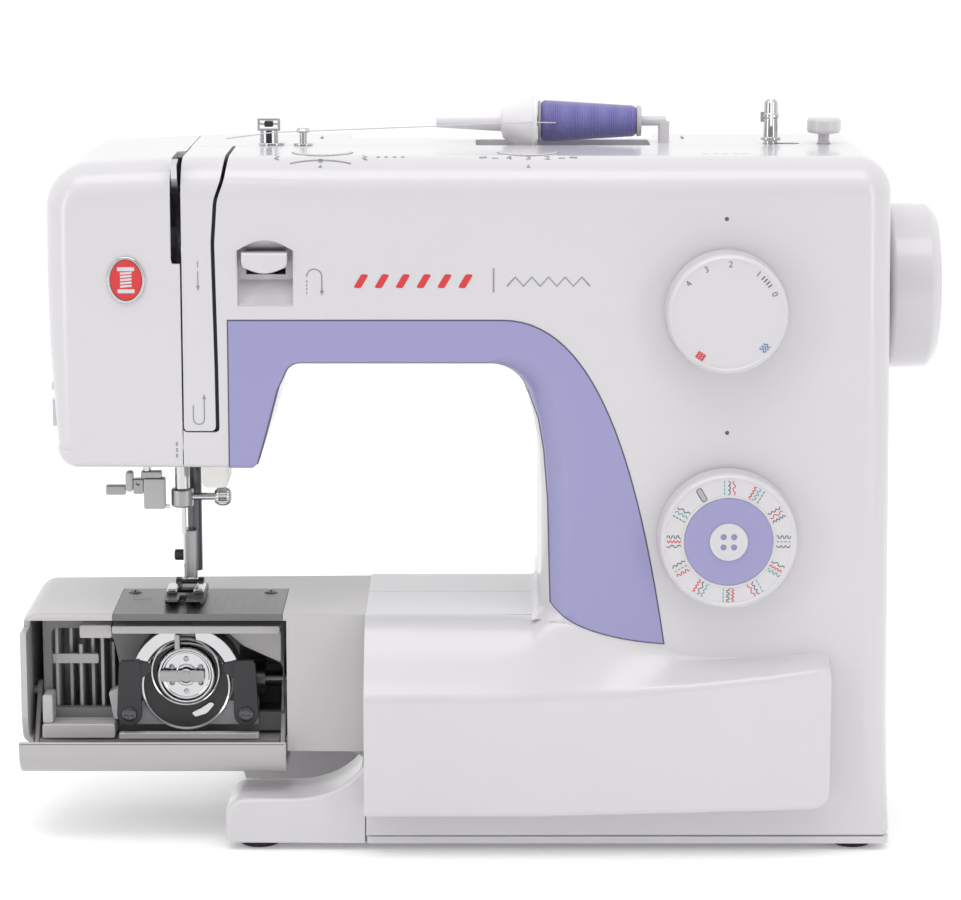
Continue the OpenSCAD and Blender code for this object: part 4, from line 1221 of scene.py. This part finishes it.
def threader():
    """Automatic needle threader: a moulded lever on a thin rod."""
    low, high = mm_box("needle_threader")
    front, back = low.y, high.y
    lever = block("lever", (-140.3, front, 134.7), (low.x + 24.5, back, 147.4), 1.0, "y", 0.6)
    link = block("link", (-144.6, front + 0.6, 141.0), (-140.4, back - 0.6, 147.2), 0.8, "y", 0.4)
    cut(link, turned("dot", [(front - 1, 0.9), (front + 2, 0.9)], (-142.6, 145.4), "y", 0, 24))
    knob = block("knob", (-147.8, front + 0.2, 141.9), (-144.7, back - 0.2, 150.2), 1.4, "y", 0.8)
    bar = block("bar", (low.x, front + 1.2, 140.5), (-147.9, back - 1.2, 144.4), 0.5, "x", 0.4)
    cap = block("cap", (-141.4, front + 0.8, 147.5), (-132.8, back - 0.8, 150.4), 0.8, "y", 0.4)
    rod = turned("rod", [(148, 0), (148, 1.6), (high.z, 1.6), (high.z, 0)], (-139, -20), "z", 0.2, 32)
    hook = block("hook", (-131.7, -20.8, 134.7), (-129.8, -19.8, 136.2), 0.3, "x")
    for part, material, obj in (("lever", GREY, lever), ("link", STEEL, link), ("knob", GREY, knob),
                                ("bar", STEEL, bar), ("cap", STEEL, cap), ("rod", CHROME, rod),
                                ("hook", CHROME, hook)):
        replaced = ["needle_threader"] if part == "lever" else []
        finish_piece(obj, "threader_" + part, material, "threader", replaced, "grey_plastic")


def plate_marks():
    """Guide lines engraved in the needle plate, and a small filled square."""
    ink = Ink()
    z = PLATE_HIGH.z
    for k in range(7):
        x = -111 + 4.2 * k
        ink.line([(x, -40), (x, -31)], 0.32, on_top(z))
        ink.line([(x, -26), (x, -14)], 0.32, on_top(z))
    for k in range(3):
        ink.line([(-146 + 5 * k, -36), (-146 + 5 * k, -27)], 0.32, on_top(z))
    ink.shape(rectangle(-146, -22, -138, -16, 1), on_top(z))
    ink.piece("plate_lines", DARK_STEEL)


def cross_slots(head, c, reach, bottom, top, axis="z"):
    """Cuts a cross-shaped recess between two heights of a screw head that lies along `axis`."""
    for u, v in ((reach, 0.4), (0.4, reach)):
        low, high = (c[0] - u, c[1] - v), (c[0] + u, c[1] + v)
        if axis == "z":
            cut(head, far_box(low[0], high[0], low[1], high[1], bottom, top))
        else:
            cut(head, far_box(low[0], high[0], bottom, top, low[1], high[1]))
    return head


def screw_heads():
    """Cross-head screws in the places of the CAD ones."""
    places = [((x, -8), BED_Z, BED_Z + 0.6, 3) for x in (-146, -89)]
    places += [((x, y), FOOT_H - 0.2, FOOT_H - 2, 3.5) for x in (-60, 20, 120) for y in (-40, 40)]
    heads = []
    for c, t0, t1, r in places:
        sign = 1 if t1 > t0 else -1
        section = [(t0 - sign, 0), (t0 - sign, r - 0.2), (t0, r), (t1 - 0.2 * sign, r - 0.4),
                   (t1, r - 1.2), (t1, 0)]
        head = turned("head", section, c, "z", 0.15, 40)
        heads.append(cross_slots(head, c, r * 0.62, t1 - 0.45, t1 + 0.45))
    for x in LATCH_X.values():
        section = [(-38, 0), (-38, 1.9), (-43.0, 1.9), (-43.0, 3.2), (-43.9, 3.0), (-44.2, 2.0), (-44.2, 0)]
        head = turned("head", section, (x, LATCH_Z), "y", 0.2, 40)
        heads.append(cross_slots(head, (x, LATCH_Z), 2.1, -45, -43.7, "y"))
    return finish_piece(join("case_screws", heads), "case_screws", DARK_STEEL, replaces=["screws"])


# ---- hook compartment --------------------------------------------------------
def hook_door():
    """The hinged cover, shown open under the arm, with its lip to the front."""
    left = mm_box("hook_cover")[0].x
    outer = [(-55.8, 43.2)] + flat(arc(-45.8, 39.4, 10, 180, 270, 10)) + [(-6, 29.4)]
    inner = [(-6, 31.4)] + flat(arc(-46, 39.4, 8, 270, 180, 10)) + [(-54, 43.2)]
    lip = flat(arc(-54.9, 43.0, 0.9, 0, 180, 6))
    loop = [(u, v, 0.7) for u, v in outer + inner + lip]
    body = prism("hook_door", loop, left, -80.6, "x")
    for x in (-186, -84):
        cheek = [(-44, 31, 0.4), (-12, 31, 0.4), (-16, 57.2, 0.4), (-24, 57.2, 0.4)]
        boolean(body, prism("cheek", cheek, x, x + 2, "x"), "UNION")
        boolean(body, turned("eye", [(x, 4), (x + 2, 4)], DOOR_PIVOT, "x", 0, 40), "UNION")
    for x0, x1 in ((-189, -185), (-83, -78.6)):
        boolean(body, turned("pin", [(x0, 1.9), (x1, 1.9)], DOOR_PIVOT, "x", 0, 24), "UNION")
    ribs = [block("rib", (x, -44, 31.2), (x + 1.2, -8, 32.6)) for x in range(-176, -90, 14)]
    boolean(body, join("ribs", ribs), "UNION")
    return finish_piece(body, "hook_door", SHADED_DOOR_WHITE, "arm_cover", replaces=["hook_cover"])


def compartment_frame():
    """Moulded wall behind the hook, with a window at the left where ribs show."""
    loop = rectangle(-182.5, 42, -82.5, 92.8, 1.5, 0.4)
    left_window = [(-179, 52), (-152, 52), (-150, 66), (-153, 82), (-158, 86), (-179, 86)]
    right_window = [(-101, 50), (-83, 50), (-83, 70), (-90, 76), (-101, 80)]
    body = prism("compartment_frame", loop, -30, -26.6)
    cut(body,
        turned("ring", [(-40, 20.4), (-20, 20.4)], (HOOK.x, 66), "y", 0, 96),
        prism("window", soften(left_window, 3, n=4), -40, -20),
        far_box(-132.2, -115.8, -40, -20, 88.6, 95),
        prism("window", soften(right_window, 2, n=4), -40, -20))
    finish_piece(body, "compartment_frame", SHADE)
    ribs = []
    for k, x in enumerate((-178, -172.5, -168, -163.5, -159, -155)):
        ribs.append(block("rib", (x, -26 + (k % 2) * 4, 44), (x + 1.4, -6, 90 - (k % 3) * 6), 0.4))
    ribs.append(block("shelf", (-181, -26.4, 70), (-160, -24.6, 74), 0.8, "y"))
    ribs.append(block("back", (-182, -5.8, 42), (-146, -4.2, 92), 0.8, "y"))
    finish_piece(join("compartment_ribs", ribs), "compartment_ribs", GREY)
    corner = [(-83.5, 72), (-83.5, 86), (-107, 86), (-99, 79)]
    tongue = [(-153, 48.5), (-150.5, 48.5), (-150.5, 62), (-155, 60)]
    rail = [block("rail", (-182, -42, 42), (-152, -30.2, 48), 1.2, "y", 0.5),
            block("rail", (-150.4, -41.8, 41.5), (-92.6, -38.2, 44.2), 0.8, "y", 0.5),
            block("post", (-181.8, -41, 48.2), (-177.6, -30.2, 60), 1.0, "y", 0.4),
            block("beam", (-152.5, -41.5, 86.2), (-83.5, -31.6, 89.5), 0.8, "y", 0.4),
            block("beam", (-166, -40, 84), (-152.8, -30.2, 89.5), 1.0, "y", 0.4),
            prism("corner", soften(corner, 1.5, n=3, w=0.3), -33.5, -30.2),
            prism("tongue", soften(tongue, 1, n=3, w=0.3), -36, -30.2)]
    finish_piece(join("compartment_rail", rail), "compartment_rail", SHADED_BED_WHITE)
    housing_ring = ring_loft("race_seat", [(-37.9, HOOK.x, 66.4, 19.8), (-37.9, HOOK.x, 66.4, 22.6),
                                           (-30.3, HOOK.x, 66.4, 22.8), (-30.3, HOOK.x, 66.4, 20.6)])
    finish_piece(housing_ring, "race_seat", BLACK, smooth=24)


def ring_loft(name, steps, segments=128):
    """Closed ring whose section points each have their own centre: (y, x, z, radius)."""
    rings = []
    for y, cx, cz, r in steps:
        rings.append([(cx + r * math.cos(a), y, cz + r * math.sin(a)) for a in full_turn(segments)])
    return loft(name, rings, closed=True)


def hook_parts():
    hx, hz = HOOK.x, HOOK.z
    outer = ring_loft("outer", [(-38.2, hx - 0.2, 63.6, 18.4), (-39.6, hx - 0.2, 63.6, 18.5),
                                (-40.0, hx - 0.2, 63.6, 18.1), (-39.7, hx - 0.2, 63.7, 17.5),
                                (-38.2, hx - 0.2, 63.7, 17.3)])
    inner = ring_loft("inner", [(-38.2, hx - 0.3, 69.9, 14.3), (-40.4, hx - 0.3, 69.9, 14.3),
                                (-40.7, hx - 0.3, 69.9, 14.0), (-40.4, hx - 0.3, 69.9, 13.5),
                                (-38.2, hx - 0.3, 69.9, 13.3)])
    rings = join("race_ring", [outer, inner])
    finish_piece(rings, "race_ring", CHROME, replaces=["race_cover"], smooth=24)
    liner = ring_loft("race_liner", [(-38.15, hx, 64.2, 18.4), (-38.6, hx, 64.2, 18.3), (-38.6, hx, hz, 12.3),
                                     (-38.15, hx, hz, 12.2)])
    finish_piece(liner, "race_liner", BLACK, slot="steel", smooth=24)
    wings = []
    for sign in (-1, 1):
        outline = (arc(hx, 66.4, 22.6, 90 + sign * 9, 90 + sign * 68, 14, 0.25)
                   + arc(hx, 66.4, 17.6, 90 + sign * 66, 90 + sign * 14, 14, 0.25))
        wings.append(prism("wing", outline, -40.9, -40.1))
    glint = [(-120.5, 52.3), (-119, 50.4), (-114, 52.0), (-110.7, 56), (-112.5, 57.0), (-116, 54.6)]
    wings.append(prism("glint", soften(glint, 1.0, n=3, w=0.2), -39.9, -38.7))
    finish_piece(join("race_wings", wings), "race_wings", CHROME)
    section = [(-32.2, 11.2), (-32.2, 11.85), (-40.9, 11.85), (-41.5, 11.3), (-41.5, 10.6), (-40.6, 10.8),
               (-39.8, 11.2)]
    case = turned("case", section, (hx, hz), "y", 0.2, 96, True)
    finish_piece(case, "bobbin_case_ring", CHROME, replaces=["bobbin_case"])
    hub = [(-42.8, 0), (-42.8, 2.3), (-42.2, 3.1), (-41.5, 3.1), (-41.5, 0)]
    bits = [block("bridge", (hx - 10.8, -42.6, hz - 2.4), (hx + 7.6, -41.5, hz + 2.4), 1.0, "y", 0.3),
            block("latch", (hx - 9.5, -42.8, hz - 1.9), (hx - 3.4, -42.7, hz + 1.9), 0.6, "y"),
            turned("hub", hub, (hx, hz), "y", 0.3, 48),
            block("finger", (hx - 4.6, -41.6, hz + 10.8), (hx - 2.4, -40.3, hz + 17.4), 0.8, "y", 0.3)]
    finish_piece(join("bobbin_case_bridge", bits), "bobbin_case_bridge", STEEL)
    section = [(-39.2, 2.7), (-39.2, 10.1), (-40.1, 10.25), (-40.15, 9.6), (-39.9, 9.2),
               (-39.9, 4.6), (-40.1, 4.2), (-40.1, 2.7)]
    flange = turned("bobbin_front", section, (hx, hz), "y", 0.12, 96, True)
    for k in range(6):
        a = math.radians(60 * k + 30)
        cut(flange, turned("hole", [(-42, 1.15), (-38, 1.15)],
                           (hx + 6.8 * math.cos(a), hz + 6.8 * math.sin(a)), "y", 0, 20))
    section = [(-32.5, 2.7), (-32.5, 10.2), (-33.3, 10.2), (-33.3, 2.7)]
    back = turned("bobbin_back", section, (hx, hz), "y", 0.1, 96, True)
    flanges = join("bobbin_flanges", [flange, back])
    finish_piece(flanges, "bobbin_flanges", CHROME, "bobbin", replaces=["bobbin"])
    wound = turned("bobbin_thread", [(-39.1, 3.0), (-39.1, 7.4), (-36.2, 7.8), (-33.4, 7.4), (-33.4, 3.0)],
                   (hx, hz), "y", 0.2, 72, True)
    finish_piece(wound, "bobbin_thread", LOOSE_THREAD, "bobbin")


def latches():
    for hand, side in (("left", -1), ("right", 1)):
        cx, cz = LATCH_X[hand], LATCH_Z
        top = cx - side * 0.6
        loop = (arc(cx, cz, 5.1, 180, 360, 14, 0.5)
                + [(top + 4.6, cz + 21, 0.5), (top + 3.6, cz + 22.6, 0.5)]
                + [(top - 3.6, cz + 22.6, 0.5), (top - 4.6, cz + 21, 0.5)])
        bar = prism("bar", tidy_outline(loop), -43, -40.5)
        tip = [(cx - side * u, cz + v, 0.3) for u, v in ((3.6, 22.4), (9.5, 21), (9.0, 17.6), (3.6, 14))]
        boolean(bar, prism("tip", tip, -42.6, -40.9), "UNION")
        cut(bar, turned("hole", [(-45, 2.0), (-39, 2.0)], (cx, cz), "y", 0, 32))
        finish_piece(bar, hand + "_latch_bar", BLACK, "latch_" + hand, replaces=[hand + "_latch"])


def lifter():
    high = mm_box("lifter_lever")[1]
    cy, cz = 32, 170
    loop = (arc(cy, cz, 6, 60, 240, 14, 1.0)
            + [(50, 156, 1.0), (64, 150, 1.0), (high.y - 2, 145.7, 1.0), (high.y, 148, 1.0)]
            + [(high.y - 1, 150.6, 1.0), (66, 157, 1.0), (46, 166, 1.0)])
    body = prism("lifter_arm", soften(loop, 1.5, n=3), -118, -112, "x")
    boolean(body, turned("pin", [(-113, 2.5), (high.x, 2.5)], (cy, cz), "x", 0, 32), "UNION")
    return finish_piece(body, "lifter_arm", WHITE, "lifter", replaces=["lifter_lever"])


def inlet_pins():
    low, high = mm_box("inlet_socket")
    pins = [block("pin", (low.x + 2, y - 1.3, 38.7), (high.x - 4.6, y + 1.3, 41.3), 0.6, "x", 0.3)
            for y in (low.y + 8, low.y + 13, low.y + 18)]
    return finish_piece(join("inlet_pins", pins), "inlet_pins", CHROME)


# ---- materials of the CAD parts that stay ------------------------------------
CAD_FINISH = {
    "frame_casting": CAST, "motor": CAST, "hook_race": CAST, "crank_disc": STEEL,
    "needle_plate": PLATE, "belts": BELT, "thread_cutter": WHITE, "inlet_socket": BLACK,
    "presser_spring": CHROME, "spool_pin": WHITE, "upper_thread": LOOSE_THREAD, "main_shaft": STEEL,
    "belt_wheels": BLACK, "takeup_lever": CHROME, "needle_bar": CHROME, "needle": CHROME,
    "presser_bar": DARK_STEEL, "feed_bar": STEEL, "feed_dog": STEEL, "lower_shaft": STEEL,
    "motor_pulley": STEEL, "shuttle_hook": DARK_STEEL, "winder_arm": GREY, "power_switch": BLACK,
}


def paint_cad_nodes():
    for node, material in CAD_FINISH.items():
        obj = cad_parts[node]
        obj.data.materials.clear()
        obj.data.materials.append(material)


# ---- stage, light and camera -------------------------------------------------
def area_light(name, place, target, size, power):
    light = bpy.data.lights.new(name, "AREA")
    light.shape = "RECTANGLE"
    light.size, light.size_y = size
    light.energy = power
    obj = linked(name, light)
    obj.location = place
    obj.rotation_euler = (Vector(target) - Vector(place)).to_track_quat("-Z", "Y").to_euler()


def eased(nodes, links, source, given, wanted):
    """Smooth step of `source` from the given range to the wanted one."""
    made = nodes.new("ShaderNodeMapRange")
    made.interpolation_type = "SMOOTHSTEP"
    for socket, value in zip(("From Min", "From Max", "To Min", "To Max"), given + wanted):
        made.inputs[socket].default_value = value
    links.new(source, made.inputs["Value"])
    return made


def dim_front_world(world):
    """White sweep behind and above the object, a dimmer room low down in front of it."""
    nodes, links = world.node_tree.nodes, world.node_tree.links
    coordinates = nodes.new("ShaderNodeTexCoord")
    axes = nodes.new("ShaderNodeSeparateXYZ")
    links.new(coordinates.outputs["Generated"], axes.inputs["Vector"])
    ahead = eased(nodes, links, axes.outputs["Y"], (0.1, -0.8), (1.1, 0.36))
    above = eased(nodes, links, axes.outputs["Z"], (0.25, 0.75), (0.0, 1.1))
    brighter = nodes.new("ShaderNodeMath")
    brighter.operation = "MAXIMUM"
    links.new(ahead.outputs["Result"], brighter.inputs[0])
    links.new(above.outputs["Result"], brighter.inputs[1])
    links.new(brighter.outputs["Value"], nodes["Background"].inputs["Strength"])
    nodes["Background"].inputs["Color"].default_value = (1.0, 1.0, 1.0, 1)


def studio():
    floor = mesh_object("floor", [(-4000, -3000, 0), (4000, -3000, 0), (4000, 5000, 0), (-4000, 5000, 0)],
                        [(0, 1, 2, 3)])
    sweep = surface("pale_floor", (0.93, 0.93, 0.93), 0.6, 0.01, 60, 0.02, cloud=2)
    shader = sweep.node_tree.nodes["Principled BSDF"]
    shader.inputs["Emission Color"].default_value = (1, 1, 1, 1)
    shader.inputs["Emission Strength"].default_value = 0.12
    floor.data.materials.append(sweep)
    world = bpy.data.worlds.new("studio")
    world.use_nodes = True
    dim_front_world(world)
    bpy.context.scene.world = world
    area_light("top_soft", (-0.1, -0.55, 1.45), (0, 0.0, 0.18), (1.5, 0.6), 6.3)
    area_light("left_strip", (-1.25, -1.0, 0.55), (-0.05, 0, 0.17), (0.3, 1.2), 3.9)
    area_light("right_strip", (1.15, -1.15, 0.5), (0.1, 0, 0.17), (0.3, 1.2), 3.5)


LOOK_DOWN = 10.49    # degrees


def camera():
    data = bpy.data.cameras.new("view")
    data.sensor_width = 36
    data.lens = 125.9
    data.dof.use_dof = False
    obj = linked("view", data)
    obj.location = (-0.001, -1.386, 0.412)
    obj.rotation_euler = (math.radians(90 - LOOK_DOWN), 0, 0)
    bpy.context.scene.camera = obj


paint_cad_nodes()
front_casing()
rear_casing()
end_cover()
strip_cover()
slot_shade_plates()
lilac_panel()
arm_casing()
base_casing()
base_front_cover()
feet()
reverse_recess()
reverse_key()
stitch_dial()
length_dial()
front_marks()
badge()
top_dials()
carry_handle()
thread_parts()
thread_guides()
winder_parts()
handwheel()
lamp_cover()
presser_foot()
ankle_and_screw()
clamp_parts()
threader()
plate_marks()
screw_heads()
hook_door()
compartment_frame()
hook_parts()
latches()
lifter()
inlet_pins()
studio()
camera()
bpy.context.scene.view_settings.view_transform = "Standard"
